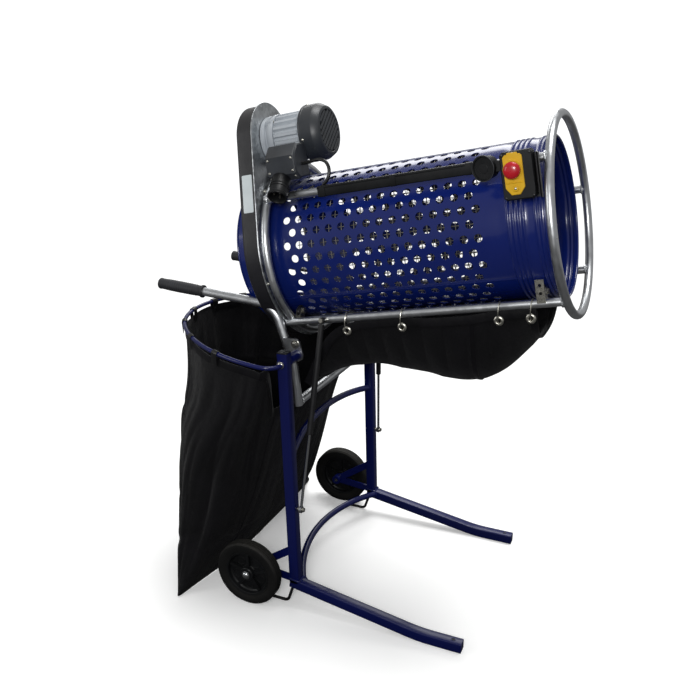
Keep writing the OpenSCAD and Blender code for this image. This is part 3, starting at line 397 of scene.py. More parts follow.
def addPiece(name, parts, body, slotName, material=None, replaces=(), sharp=35, merge=0.00001,
             openEdges=False):
    # joins parts of (points, faces) into one piece with outward normals, then rides it on its body
    points, faces, start = [], [], 0
    for partPoints, partFaces in parts:
        points.append(np.asarray(partPoints, float))
        faces += [[k + start for k in face] for face in partFaces]
        start += len(partPoints)
    mesh = bpy.data.meshes.new(name)
    mesh.from_pydata(np.concatenate(points).tolist(), [], faces)
    work = bmesh.new()
    work.from_mesh(mesh)
    bmesh.ops.remove_doubles(work, verts=work.verts, dist=merge)
    bmesh.ops.recalc_face_normals(work, faces=work.faces)
    work.to_mesh(mesh)
    work.free()
    mesh.shade_smooth()
    mesh.set_sharp_from_angle(angle=math.radians(sharp))
    if openEdges:
        # open edges stay crisp when a wall is added to the sheet
        loopEdges = np.zeros(len(mesh.loops), np.int32)
        mesh.loops.foreach_get("edge_index", loopEdges)
        sharpEdges = np.zeros(len(mesh.edges), bool)
        mesh.attributes["sharp_edge"].data.foreach_get("value", sharpEdges)
        sharpEdges |= np.bincount(loopEdges, minlength=len(mesh.edges)) == 1
        mesh.attributes["sharp_edge"].data.foreach_set("value", sharpEdges)
    piece = bpy.data.objects.new(name, mesh)
    bpy.context.scene.collection.objects.link(piece)
    mesh.materials.append(material or slotMaterials[slotName])
    if replaces:
        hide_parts(*replaces)
    if body:
        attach(piece, body)
    return piece


def smoothTable(table, where):
    # cubic curve through the rows of a table whose first column is the place, sloping at each row as its
    # neighbours
    # do; returns the other columns at where
    table, where = np.asarray(table, float), np.asarray(where, float)
    x, rows = table[:, 0], table[:, 1:]
    slope = np.gradient(rows, x, axis=0)
    k = np.clip(np.searchsorted(x, where, side="right") - 1, 0, len(x) - 2)
    wide = (x[k + 1] - x[k])[..., None]
    t = ((where - x[k]) / (x[k + 1] - x[k]))[..., None]
    return ((2 * t ** 3 - 3 * t ** 2 + 1) * rows[k] + (t ** 3 - 2 * t ** 2 + t) * wide * slope[k]
            + (3 * t ** 2 - 2 * t ** 3) * rows[k + 1] + (t ** 3 - t ** 2) * wide * slope[k + 1])


# ---- motor lead: a bowed cable from the terminal box down to the inlet, drawn first as it lies
lead = {"diameter": 0.009,
        "route": [(-0.613, -0.17, 0.24), (-0.598, -0.17, 0.24), (-0.578, -0.171, 0.242),
                  (-0.556, -0.174, 0.242),
                  (-0.54, -0.178, 0.234), (-0.532, -0.183, 0.218), (-0.533, -0.187, 0.202),
                  (-0.539, -0.189, 0.19),
                  (-0.547, -0.19, 0.183), (-0.552, -0.19, 0.1795)]}
knots = drumPoint(*np.array(lead["route"]).T)
along = np.concatenate([[0], np.linalg.norm(np.diff(knots, axis=0), axis=1).cumsum()])
leadLine = smoothTable(np.column_stack([along, knots]), np.linspace(0, along[-1], 64))
leadPiece = addPiece("motor_lead", [tube(leadLine, lead["diameter"] / 2, 20, (0, 1, 0))], "cradle",
                     "cable_rubber",
                     replaces=["motor_cable"])

# ---- stand
stand = {"postY": 0.292, "tube": 0.03, "corner": 0.0035, "postTop": 0.788, "postLean": 0.021, "rootZ": 0.077,
         "bendX": 0.382, "reach": 0.505, "archTube": 0.02, "pivot": (-0.023, 0.757)}
squareTube = roundedOutline(stand["tube"], stand["tube"], stand["corner"])


def weldBead(path, radius=0.0028, up=(0, 0, 1), closed=True):
    # ripples of a weld: the bead's radius swells every 4 mm
    path = np.asarray(path, float)
    ahead = np.linalg.norm(np.diff(path, axis=0, append=path[:1]), axis=1)
    along = np.cumsum(ahead)
    return tube(path, radius * (1 + 0.18 * np.sin(along / 0.004 * 2 * np.pi)), 8, up, closed)


def squareLoop(centre, along, across, size, steps=12):
    # points round a square of the given size
    t = np.linspace(-0.5, 0.5, steps, endpoint=False)
    sides = [np.stack([t, t * 0 - 0.5], -1), np.stack([t * 0 + 0.5, t], -1),
             np.stack([-t, t * 0 + 0.5], -1), np.stack([t * 0 - 0.5, -t], -1)]
    flat = np.concatenate(sides) * size
    return np.asarray(centre) + flat[:, :1] * np.asarray(along,
                                                         float) + flat[:, 1:] * np.asarray(across, float)


def roundLoop(centre, axis, radius, steps=48):
    # points of a circle about the axis
    axis = np.asarray(axis, float) / np.linalg.norm(axis)
    first = np.cross(axis, (0, 0, 1) if abs(axis[2]) < 0.9 else (1, 0, 0))
    first /= np.linalg.norm(first)
    angle = np.arange(steps) / steps * 2 * np.pi
    return np.asarray(centre) + radius * (np.cos(angle)[:, None] * first + np.sin(angle)[:, None]
                                          * np.cross(axis, first))


for side, sign in (("near", -1), ("far", 1)):
    y = sign * stand["postY"]
    foot = standPoint(-0.0013, y, stand["rootZ"] + 0.004)
    top = standPoint(-stand["postLean"], y, stand["postTop"])
    post = carried([foot, foot * 0.5 + top * 0.5, top], squareTube, up=(1, 0, 0))
    boss = turned([(0, 0), (0.015, 0), (0.015, 0.0612), (0.014, 0.062), (0, 0.062)],
                  standPoint(stand["pivot"][0], sign * 0.2778, stand["pivot"][1]), (0, -sign, 0), 40)
    parts = [post, boss, weldBead(roundLoop(standPoint(stand["pivot"][0], sign * 0.2768, stand["pivot"][1]),
                                            (0, 1, 0), 0.0155), up=(0, 1, 0))]
    addPiece(side + "_post_tube", parts, "stand", "frame_paint", replaces=[side + "_post"])
    slope = math.atan2(stand["rootZ"] - 0.015, stand["bendX"])
    legLine = softCorners([standPoint(-0.015, y, stand["rootZ"] + 0.015 * math.tan(slope)),
                           standPoint(stand["bendX"], y, 0.015),
                           standPoint(stand["reach"], y, 0.015)], 0.035, 10)
    leg = carried(legLine, squareTube)
    tipHoleRing = turned([(0.0045, 0), (0.0062, 0.0002), (0.0062, 0.0009), (0.0045, 0.0006)],
                     standPoint(0.48, y, 0.0298), (0, 0, 1), 24)
    # a black disc 0.6 mm deep inside the ring at the leg's tip is painted shade: it stands in for the dark
    # inside of the hole, and there is no real opening
    tipShadeDisc = turned([(0, 0), (0.0046, 0), (0.0046, 0.0006), (0, 0.0006)], standPoint(0.48, y, 0.0298),
                    (0, 0, 1), 24)
    addPiece(side + "_leg_tube", [leg, tipHoleRing], "stand", "frame_paint", replaces=[side + "_leg"])
    # the black disc is painted shade for the hole at the leg's tip
    addPiece(side + "_leg_hole_shade_disc", [tipShadeDisc], "stand", "black_plastic", blackPlastic)
    bead = squareLoop(standPoint(0.0, y, stand["rootZ"] + 0.0155), (1, 0, -0.16), (0, 1, 0), 0.031)
    addPiece(side + "_post_weld", [weldBead(bead)], "stand", "frame_paint")
    # end plug of the leg
    plug = carried([standPoint(stand["reach"] - 0.001, y, 0.015),
                    standPoint(stand["reach"] + 0.0006, y, 0.015)],
                   roundedOutline(0.0255, 0.0255, 0.003))
    addPiece(side + "_leg_plug", [plug], "stand", "frame_paint")
    # plug of the post, with a domed top
    lean = (top - foot) / np.linalg.norm(top - foot)
    capRows = [roundedOutline(w, w, 0.004) for w in (0.0298, 0.03, 0.0298, 0.028, 0.02, 0.002)]
    capUp = [0, 0.0002, 0.002, 0.0029, 0.003, 0.003]
    capPoints = np.stack([top + r[:, :1] * np.array([1, 0, 0]) + r[:, 1:] * np.array([0, 1, 0]) + h * lean
                          for r, h in zip(capRows, capUp)])
    addPiece(side + "_post_plug", [shell(capPoints)], "stand", "black_plastic")

arches = []
for xEnd, zEnd, bow, rise in ((-0.0125, 0.48, 0.047, 147), (0.015, 0.079, 0.081, 172)):
    half = stand["postY"] - 0.014
    radius = (half * half + bow * bow) / (2 * bow)
    reachAngle = math.degrees(math.asin(half / radius))
    flat = arc((bow - radius, 0), radius, -reachAngle, reachAngle, 64)
    riseTurn = math.radians(rise)
    path = standPoint(xEnd + flat[:, 0] * math.cos(riseTurn), flat[:, 1], zEnd + flat[:, 0]
                      * math.sin(riseTurn))
    arches.append(tube(path, stand["archTube"] / 2, 24))
    for end, inward in ((path[0], path[1] - path[0]), (path[-1], path[-2] - path[-1])):
        arches.append(weldBead(roundLoop(end + inward / np.linalg.norm(inward) * 0.002, inward, 0.0105),
                               0.0024, up=inward))
addPiece("stand_cross_tubes", arches, "stand", "frame_paint", replaces=["stand_arches"])

addPiece("stand_post_plugs_inner", [turned([(0, 0), (0.004, 0), (0.004, 0.001), (0, 0.001)],
                                           standPoint(-0.021, s * 0.292, 0.7905), (0, 0, 1), 12)
                                    for s in (-1, 1)], "stand", "black_plastic", replaces=["post_caps"])

# bent steel rod feet
feet = []
for sign in (-1, 1):
    y = sign * stand["postY"]
    feet.append(tube(softCorners([standPoint(-0.008, y, 0.07), standPoint(-0.03, y, 0.0056),
                                  standPoint(-0.086, y, 0.0056)], 0.012), 0.0045, 16, (0, 1, 0)))
addPiece("bent_rod_feet", feet, "stand", "black_steel", replaces=["rest_feet"])


# fasteners: a hexagon with chamfered corners, and a dome
def hexNut(centre, axis, acrossCorners, height):
    # a six-sided prism whose ends are cut by a cone
    axis = np.asarray(axis, float) / np.linalg.norm(axis)
    first = np.cross(axis, (0.1, 0.2, 1))
    first /= np.linalg.norm(first)
    second = np.cross(axis, first)
    angle = np.arange(6) / 6 * 2 * np.pi
    ring = np.cos(angle)[:, None] * first + np.sin(angle)[:, None] * second
    r = acrossCorners / 2
    rows = [(0.0, 0), (r * 0.86, 0), (r, height * 0.12), (r, height * 0.88), (r * 0.86, height),
            (0.0, height)]
    return shell(np.stack([np.asarray(centre) + radius * ring + h * axis for radius, h in rows]), caps=False)


def dome(centre, axis, radius, height, sides=32):
    # a quarter ellipse turned about the axis
    t = np.linspace(0, np.pi / 2, 7)
    profile = [(0, 0), (radius * 1.02, 0)] + [(radius * math.cos(a), height * math.sin(a)) for a in t]
    profile[-1] = (0, height)
    return turned(profile, centre, axis, sides)


pivotParts = []
for sign in (-1, 1):
    x, z = stand["pivot"]
    out = (0, sign, 0)
    pivotParts.append(turned([(0, 0), (0.0125, 0), (0.0125, 0.0015), (0, 0.0015)],
                             standPoint(x, sign * 0.3069, z), out))
    pivotParts.append(dome(standPoint(x, sign * 0.3082, z), out, 0.0105, 0.0068))
    pivotParts.append(turned([(0, 0), (0.0058, 0), (0.0058, 0.106), (0.005, 0.1075), (0, 0.1075)],
                             standPoint(x, sign * 0.306, z), (0, -sign, 0)))
    pivotParts.append(hexNut(standPoint(x, sign * 0.2053, z), (0, -sign, 0), 0.021, 0.009))
addPiece("pivot_bolt_sets", pivotParts, "stand", "zinc_steel", replaces=["pivot_bolts"])

studs = []
for sign in (-1, 1):
    base = standPoint(0.0, sign * 0.292, 0.324)
    studs.append(turned([(0, 0.008), (0.004, 0.008), (0.004, 0.029), (0.0034, 0.03), (0, 0.03)], base,
                        (1, 0, 0), 24))
    studs.append(hexNut(standPoint(0.0262, sign * 0.292, 0.324), (1, 0, 0), 0.0128, 0.0045))
    studs.append(turned([(0.0041, 0.0145), (0.0085, 0.0145), (0.0085, 0.0158), (0.0041, 0.0158)], base,
                        (1, 0, 0), 24))
addPiece("lower_strut_studs", studs, "stand", "zinc_steel", replaces=["strut_studs"])

# ---- wheels
wheel = {"x": -0.136, "y": 0.33, "z": 0.1, "spokes": 5}
# outline of the tyre, with four grooves round the tread
profile = [(0.0705, -0.0155), (0.078, -0.0172), (0.088, -0.0198), (0.0955, -0.0186), (0.0985, -0.015)]
for centreLine in np.linspace(-0.0105, 0.0105, 4):
    profile += [(0.0999, centreLine - 0.0035), (0.1, centreLine - 0.0012), (0.1, centreLine + 0.0012),
                (0.0999, centreLine + 0.0022),
                (0.0972, centreLine + 0.0026), (0.0972, centreLine + 0.0034)]
profile += [(0.0985, 0.015), (0.0955, 0.0186), (0.088, 0.0198), (0.078, 0.0172), (0.0705, 0.0155),
            (0.0705, -0.0155)]


def wheelCentre(sign):
    # rim, dished web, hub, five ribs and a raised ring between each two ribs
    at = standPoint(wheel["x"], sign * wheel["y"], wheel["z"])
    axis = (0, sign, 0)
    web = turned([(0.007, -0.019), (0.02, -0.019), (0.0212, -0.0178), (0.0215, -0.005), (0.023, -0.003),
                  (0.058, -0.003),
                  (0.062, -0.006), (0.064, -0.015), (0.066, -0.0162), (0.0703, -0.0162), (0.0703, 0.0162),
                  (0.066, 0.0162),
                  (0.064, 0.015), (0.062, 0.006), (0.058, 0.003), (0.023, 0.003), (0.0215, 0.005),
                  (0.0212, 0.0178),
                  (0.02, 0.019), (0.007, 0.019), (0.007, -0.019)], at, axis, 96)
    parts = [web]
    for k in range(wheel["spokes"]):
        angle = 2 * math.pi * (k + 0.25) / wheel["spokes"]
        along = np.array([math.cos(angle), 0, math.sin(angle)])
        across = np.cross(along, sideways)
        for face in (-1, 1):
            outline = [(0.0205, -0.0062), (0.064, -0.004), (0.064, 0.004), (0.0205, 0.0062)]
            parts.append(plate(outline, at + sideways * face * 0.0025, along, across, sideways * face
                               * 0.0085, 0.0012))
        between = angle + math.pi / wheel["spokes"]
        along = np.array([math.cos(between), 0, math.sin(between)])
        for face in (-1, 1):
            ring = roundLoop(at + along * 0.0415 + sideways * face * 0.003, sideways, 0.013, 32)
            parts.append(tube(ring, 0.0014, 8, (0, 1, 0), True))
    return parts


for side, sign in (("near", -1), ("far", 1)):
    at = standPoint(wheel["x"], sign * wheel["y"], wheel["z"])
    addPiece(side + "_ribbed_tyre", [turned(profile, at, (0, 1, 0), 128)], side + "_wheel", "tyre_rubber",
             replaces=[side + "_tyre"])
    addPiece(side + "_wheel_web", wheelCentre(sign), side + "_wheel", "black_plastic",
             replaces=[side + "_wheel_centre"])
    cap = [dome(standPoint(wheel["x"], sign * (wheel["y"] + 0.0225), wheel["z"]), (0, sign, 0), 0.0112,
                0.0075),
           turned([(0.006, 0), (0.0125, 0), (0.0125, 0.0016), (0.011, 0.0024), (0.006, 0.0024)],
                  standPoint(wheel["x"], sign * (wheel["y"] + 0.0213), wheel["z"]), (0, sign, 0))]
    addPiece(side + "_hub_cap", cap, "stand", "bright_caps", replaces=["hub_caps"])
print("stand and wheels made")


# ---- bag ring
def ringLine(steps=140):
    # the bent bar from the far post round the back to the near post, evenly spaced
    turn = math.degrees(math.atan2(0.0903, 0.11))
    endRadius = 0.4423 - 0.0903 - 0.307
    half = np.concatenate([arc((-0.065, 0.307), endRadius, 0, 80, 9),
                           arc((-0.065, -0.0903), 0.4423, 90, 180 - turn, 30),
                           arc((-0.175, 0), 0.3, 180 - turn + 3, 180, 14)])
    flat = np.concatenate([half, half[-2::-1] * [1, -1]])
    far = np.concatenate([[0], np.cumsum(np.linalg.norm(np.diff(flat, axis=0), axis=1))])
    even = np.linspace(0, far[-1], steps)
    x, y = np.interp(even, far, flat[:, 0]), np.interp(even, far, flat[:, 1])
    tilt = math.atan(0.07)
    return standPoint(-0.02 + (x + 0.02) * math.cos(tilt), y, 0.757 - (x + 0.02) * math.sin(tilt))


mouthLine = ringLine()
endPads = [turned([(0, 0), (0.0128, 0), (0.0128, 0.0014), (0, 0.0014)],
                  standPoint(-0.022, s * 0.3071, 0.757), (0, s, 0)) for s in (-1, 1)]
addPiece("bag_ring_bar", [tube(mouthLine, 0.006, 20)] + endPads, "stand", "frame_paint",
         replaces=["bag_ring"])


# ---- soft pieces: the bag and the chute
def smoothStep(low, high, value):
    # 0 below low, 1 above high, with level ends between
    t = np.clip((value - low) / (high - low), 0, 1)
    return t * t * (3 - 2 * t)


def sharpFold(angle):
    # 0 on broad crowns, 1 in narrow valleys
    return 1 - np.abs(np.sin(angle / 2)) ** 0.75


def clothPiece(name, points, closeColumns, thick):
    # a grid of cloth with its own metres as UVs, given its thickness by Solidify
    rows, columns = points.shape[:2]
    along = np.concatenate([[0], np.cumsum(np.linalg.norm(np.diff(points[rows // 2], axis=0), axis=1))])
    down = np.concatenate([[0], np.cumsum(np.linalg.norm(np.diff(points[:, columns // 3], axis=0), axis=1))])
    if closeColumns:
        along = np.append(along, along[-1] + np.linalg.norm(points[rows // 2, 0] - points[rows // 2, -1]))
    faces = gridFaces(rows, columns, False, closeColumns)
    piece = addPiece(name, [(points.reshape(-1, 3), faces)], None, "black_fabric", merge=0, sharp=180)
    corner = np.zeros(len(piece.data.loops), int)
    piece.data.loops.foreach_get("vertex_index", corner)
    column, row = corner % columns, corner // columns
    # on the quads that close the cloth's round, column 0 counts as one past the last
    furthest = np.repeat(column.reshape(-1, 4).max(1), 4)
    column = np.where(closeColumns & (column == 0) & (furthest > 1), columns, column)
    layer = piece.data.uv_layers.new(name="clothMetres")
    layer.data.foreach_set("uv", np.stack([along[column], down[row]], -1).ravel().astype(np.float32))
    smooth = piece.modifiers.new("smooth_cloth", "SUBSURF")
    smooth.levels = smooth.render_levels = 1
    wall = piece.modifiers.new("cloth_thickness", "SOLIDIFY")
    wall.thickness, wall.offset = thick, 0
    return piece


bag = {"columns": 260, "rows": 110, "thick": 0.0012, "mouthDrop": 0.016, "frontTop": 0.594, "folds": 0.016,
       "seed": 11}
# height, front x, back x, half width, x of the widest place, roundness of the back
bagTable = [(0.004, -0.296, -0.33, 0.408, -0.312, 0.8), (0.04, -0.268, -0.366, 0.388, -0.316, 0.8),
            (0.12, -0.208, -0.42, 0.364, -0.314, 0.8), (0.24, -0.152, -0.456, 0.346, -0.304, 0.8),
            (0.38, -0.105, -0.472, 0.337, -0.28, 0.82), (0.5, -0.078, -0.477, 0.333, -0.23, 0.88),
            (0.6, -0.056, -0.478, 0.335, -0.17, 1.0), (0.8, -0.046, -0.474, 0.347, -0.1, 1.08)]


def bagPlan(angle, height):
    # a rounded outline at each height: two half superellipses joined at the widest place
    front, back, half, middle, roundness = np.moveaxis(smoothTable(bagTable, height), -1, 0)
    c, s = np.cos(angle), np.sin(angle)
    power = np.where(c < 0, roundness, 0.8)
    x = middle + np.where(c < 0, middle - back, front - middle) * np.sign(c) * np.abs(c) ** power
    return x, half * np.sign(s) * np.abs(s) ** power


rng = np.random.default_rng(bag["seed"])
# even steps along the wall rather than in angle, so that the corners get as many columns as the flats
fine = np.linspace(0, 2 * np.pi, 4001)
planX, planY = bagPlan(fine, np.full(4001, 0.45))
planFar = np.concatenate([[0], np.cumsum(np.hypot(np.diff(planX), np.diff(planY)))])
columnAngle = np.interp(np.arange(bag["columns"]) / bag["columns"] * planFar[-1], planFar, fine)
mouthX, mouthY = bagPlan(columnAngle, np.full(bag["columns"], 0.75))
ringTop = 0.757 + 0.07 * (-0.02 - mouthX) - bag["mouthDrop"]
atFront = (1 - smoothStep(0.255, 0.3, np.abs(mouthY))) * (mouthX > -0.15)
topEdge = ringTop * (1 - atFront) + bag["frontTop"] * atFront
t = np.linspace(0, 1, bag["rows"])[:, None] ** 0.9
height = 0.0045 + t * (topEdge[None] - 0.0045)
angle = np.broadcast_to(columnAngle, height.shape)
x, y = bagPlan(angle, height)
# near the mouth the wall swings in to lie under the ring's own line
ringX, ringY = mouthLine[:, 0] - standShift, mouthLine[:, 1]
order = np.argsort(np.arctan2(ringY, ringX + 0.25))
around = np.arctan2(y, x + 0.25)
ringRadius = np.interp(around, np.arctan2(ringY, ringX + 0.25)[order], np.hypot(ringY, ringX + 0.25)[order])
pull = smoothStep(0.62, 0.99, t) * (1 - atFront)[None] * (np.abs(y) < 0.345) * smoothStep(0.02, -0.08, x)
ownRadius = np.hypot(y, x + 0.25)
scale = 1 + pull * (np.minimum(ringRadius - 0.002, ownRadius * 1.1) / ownRadius - 1)
x, y = -0.25 + (x + 0.25) * scale, y * scale
# folds press inwards only, so that the outline stays on the wheels' and posts' clear side
inX, inY = -(x + 0.28), -y * 0.55
length = np.hypot(inX, inY) + 1e-6
body = np.sin(np.pi * np.clip(t, 0, 1)) ** 0.6
depth = 0
for count, share, drift in ((9, 0.9, 0.9), (14, 0.55, -1.5), (23, 0.3, 2.4), (37, 0.14, -3.1)):
    phase, wander = rng.uniform(0, 6.28), rng.uniform(0.6, 1.4)
    depth = depth + share * sharpFold(count * angle + phase + drift * t * 2 + 0.8
                                      * np.sin(wander * 3 * t + 2 * angle))
depth = depth * bag["folds"] * body
# cross creases where the slack cloth buckles above the floor
for k in range(9):
    at, tilt, where = rng.uniform(0.08, 0.75), rng.uniform(-0.5, 0.5), rng.uniform(0, 6.28)
    near = np.exp(-((np.angle(np.exp(1j * (angle - where)))) / 0.38) ** 2)
    depth = depth + near * 0.009 * np.exp(-((t - at - tilt * np.angle(np.exp(1j * (angle - where)))
                                             * 0.5) / 0.018) ** 2) * body
x, y = x + inX / length * depth, y + inY / length * depth
# the near end of the bottom seam lies further back, as it was set down
low = (1 - smoothStep(0, 0.35, height)) * smoothStep(-0.1, -0.4, y)
x = x - 0.03 * low
height = height - 0.006 * sharpFold(7 * angle + 1.3) * smoothStep(0.9, 1, t) * (1 - atFront)[None]
bagPoints = standPoint(x, y, height)
bagCloth = clothPiece("collecting_bag_cloth", bagPoints, True, bag["thick"])
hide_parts("collecting_bag")
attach(bagCloth, "stand")


# folded hem round the mouth, side seams and the bottom seam, each a flat welt of doubled cloth
topLine = bagPoints[-1] + np.array([0, 0, -0.008])
hem = carried(topLine, roundedOutline(0.0042, 0.024, 0.0018), closed=True)
addPiece("bag_mouth_hem", [hem], "stand", "black_fabric", nylonCloth)
seams = []
for fraction in (0.135, 0.365, 0.635, 0.865):
    line = bagPoints[2:-1, int(fraction * bag["columns"])]
    seams.append(tube(line, 0.0019, 8, (0, 1, 0)))
floorSeam = bagPoints[0]
halfCount = bag["columns"] // 2
middleLine = (floorSeam[:halfCount + 1] + np.roll(floorSeam[::-1], 1, 0)[:halfCount + 1]) / 2
seams.append(carried(middleLine[8:-8] + np.array([0, 0, 0.0015]), roundedOutline(0.012, 0.005, 0.002)))
addPiece("bag_seams", seams, "stand", "black_fabric")

# webbing loops that hang the mouth from the ring: a flat band round the bar and down over the hem
loops = []
for share in (0.16, 0.27, 0.37, 0.46, 0.54, 0.63, 0.73, 0.84):
    k = int(share * (len(mouthLine) - 1))
    at, ahead = mouthLine[k], mouthLine[k + 1] - mouthLine[k - 1]
    ahead = ahead / np.linalg.norm(ahead)
    out = np.cross(ahead, (0, 0, 1))
    out /= np.linalg.norm(out)
    over = np.cross(out, ahead)
    turnAngle = np.radians(np.linspace(-20, 200, 16))
    loop = [(math.cos(a) * 0.0078, math.sin(a) * 0.0078) for a in turnAngle]
    loop = [(0.0058, -0.034), (0.0064, -0.018)] + loop + [(-0.0064, -0.018), (-0.0058, -0.034)]
    upright = 1 if over[2] > 0 else -1
    line = np.array([at + p * out * upright + q * over * upright for p, q in loop])
    loops.append(carried(line, roundedOutline(0.022, 0.0014, 0.0005), up=out))
addPiece("bag_webbing_loops", loops, "stand", "black_fabric", cableRubber)

# ---- chute
chute = {"columns": 90, "rows": 150, "half": 0.177, "thick": 0.0012}
# x, top edge, bottom, half width of the bottom
chuteTable = [(-0.012, 0.668, 0.638, 0.15), (0.05, 0.796, 0.668, 0.12), (0.14, 0.858, 0.694, 0.108),
              (0.3, 0.889, 0.692, 0.1), (0.44, 0.916, 0.69, 0.1), (0.52, 0.932, 0.732, 0.106),
              (0.612, 0.95, 0.846, 0.13)]
u = np.linspace(-0.01, 0.611, chute["rows"])
topZ, bottomZ, flatHalf = np.moveaxis(smoothTable(chuteTable, u), -1, 0)
v = np.linspace(-1, 1, chute["columns"])[None]
topZ, bottomZ, flatHalf, ux = topZ[:, None], bottomZ[:, None], flatHalf[:, None], u[:, None]
lift = np.abs(v) ** 2.6
crossY = np.sign(v) * (np.abs(v) ** 0.72) * chute["half"]
crossY = np.where(np.abs(crossY) > chute["half"] - 0.002, np.sign(v) * chute["half"], crossY)
z = bottomZ + 0.003 + (topZ - bottomZ - 0.003) * (0.12 * np.abs(v) ** 1.6 + 0.88 * lift)
# slack between the hooks and long shallow folds down the slope
hookX = np.array([0.115, 0.27, 0.52, 0.597])
spread = np.exp(-((ux[..., None] - hookX) / 0.05) ** 2).sum(-1)
z = z - 0.007 * (1 - np.clip(spread, 0, 1)) * np.abs(v) ** 8
fold = sharpFold(ux / 0.055 * 2 * np.pi + 1.4 * np.abs(v) + 0.7 * np.sin(9 * ux))
side = np.exp(-((np.abs(v) - 0.72) / 0.22) ** 2)
crossY = crossY - np.sign(v) * 0.007 * fold * side
z = z - 0.004 * sharpFold(ux / 0.12 * 2 * np.pi + 2.2 * v + 1) * np.exp(-(v / 0.5) ** 2) + 0.004
chutePoints = standPoint(ux + 0 * v, crossY, z)
chuteCloth = clothPiece("chute_cloth", chutePoints, False, chute["thick"])
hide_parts("chute_sheet")
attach(chuteCloth, "cradle")
hems = []
for edge in (0, -1):
    line = chutePoints[:, edge] + np.array([0, 0, -0.01])
    hems.append(carried(line, roundedOutline(0.0034, 0.024, 0.0014)))
for row in (0, -1):
    line = chutePoints[row, 1:-1] + (chutePoints[5 if row == 0 else -6, 1:-1] - chutePoints[row, 1:-1]) * 0.3
    hems.append(carried(line, roundedOutline(0.0034, 0.018, 0.0014), up=(1, 0, 0.3)))
addPiece("chute_hems", hems, "cradle", "black_fabric")
# sewn panel joint half way down the slope
joint = chutePoints[int(chute["rows"] * 0.74), 2:-2] + np.array([0, 0, -0.0012])
addPiece("chute_panel_seam", [carried(joint, roundedOutline(0.003, 0.014, 0.0012), up=(1, 0, 0))], "cradle",
         "black_fabric")


def grommet(at, axis, radius=0.0095):
    # rolled eyelet: a torus with a flat flange
    return turned([(radius * 0.55, 0.0008), (radius * 0.7, 0.0022), (radius * 0.9, 0.0026),
                   (radius * 1.15, 0.0018),
                   (radius * 1.35, 0.0002), (radius * 1.35, -0.001), (radius * 0.55, -0.001),
                   (radius * 0.55, 0.0008)], at, axis, 32)


eyelets, links = [], []
for s in (-0.56, -0.4, -0.142, -0.062):
    for sign in (-1, 1):
        rail = drumPoint(s, sign * 0.25 * math.sin(math.radians(135)), 0.25 * math.cos(math.radians(135)))
        hole = rail + np.array([0, sign * 0.002, -0.037])
        eyelets.append(grommet(hole, (0, sign, 0)))
        t = np.radians(np.linspace(0, 360, 40, endpoint=False))
        loop = np.stack([np.zeros(40), np.sin(t) * 0.0145, -0.0135 + np.cos(t) * 0.0275], -1)
        links.append(tube(rail + loop + np.array([0, sign * 0.002, 0]), 0.0015, 10, (1, 0, 0), True))
addPiece("chute_eyelets", eyelets, "cradle", "zinc_steel")
addPiece("chute_hook_links", links, "cradle", "zinc_steel", replaces=["chute_hooks"])

# ---- drum: rows of round holes between beaded blank ends
drum = {"radius": 0.2, "wall": 0.002, "hole": 0.0105, "pitch": 0.036, "rows": 36, "across": 15,
        "first": -0.688,
        "beads": (-0.09, -0.078, -0.066, -0.054, -0.024, -0.014), "belt": -0.772}
rowAngle = 2 * np.pi / drum["rows"]
fieldStart = drum["first"] - drum["pitch"] / 2
fieldEnd = drum["first"] + drum["pitch"] * drum["across"]


def onDrum(s, angle, radius):
    # a point at s along the axis and angle from the top, on a cylinder of the radius
    return drumPoint(s, radius * np.sin(angle), radius * np.cos(angle))


def perforatedField():
    # each cell is a hole of 16 points joined to 16 points round a rectangle; odd rows start half a pitch
    # later
    step = np.arange(4) / 4 - 0.5
    edge = np.concatenate([np.stack([step, step * 0 - 0.5], -1), np.stack([step * 0 + 0.5, step], -1),
                           np.stack([-step, step * 0 + 0.5], -1), np.stack([step * 0 - 0.5, -step], -1)])
    size = np.array([drum["pitch"], rowAngle * drum["radius"]])
    toward = edge * size / np.linalg.norm(edge * size, axis=1, keepdims=True)
    cell = np.concatenate([edge * size, toward * drum["hole"]])
    k = np.arange(16)
    cellFaces = np.stack([k, (k + 1) % 16, (k + 1) % 16 + 16, k + 16], -1)
    row, column = [v.ravel() for v in np.meshgrid(np.arange(drum["rows"]), np.arange(drum["across"]),
                                                  indexing="ij")]
    s = drum["first"] + drum["pitch"] * (column + 0.5 * (row % 2))
    points = onDrum(s[:, None] + cell[None, :, 0], (row * rowAngle)[:, None]
                    + cell[None, :, 1] / drum["radius"], drum["radius"])
    faces = (cellFaces[None] + 32 * np.arange(len(s))[:, None, None]).reshape(-1, 4)
    made = [(points.reshape(-1, 3), faces.tolist())]
    # half cells close the ends of the staggered rows
    for parity, start in ((0, fieldEnd - drum["pitch"] / 2), (1, fieldStart)):
        for r in range(parity, drum["rows"], 2):
            across = start + drum["pitch"] / 4 * np.arange(3)[:, None]
            angle = rowAngle * (r - 0.5 + np.arange(5) / 4)[None]
            made.append((onDrum(across, angle, drum["radius"]).reshape(-1, 3), gridFaces(3, 5)))
    return made


def blankBand(s):
    # the sheet turned about the axis, its radius swelling by a raised cosine over each bead
    swell = sum(0.003 * np.where(np.abs(s - c) < 0.0052, np.cos(np.pi / 2 * (s - c) / 0.0052) ** 2, 0)
                for c in drum["beads"])
    angle = rowAngle * (np.arange(drum["rows"] * 4) / 4 - 0.5)
    points = onDrum(s[:, None], angle[None], (drum["radius"] + swell)[:, None])
    return points.reshape(-1, 3), gridFaces(len(s), len(angle), False, True)


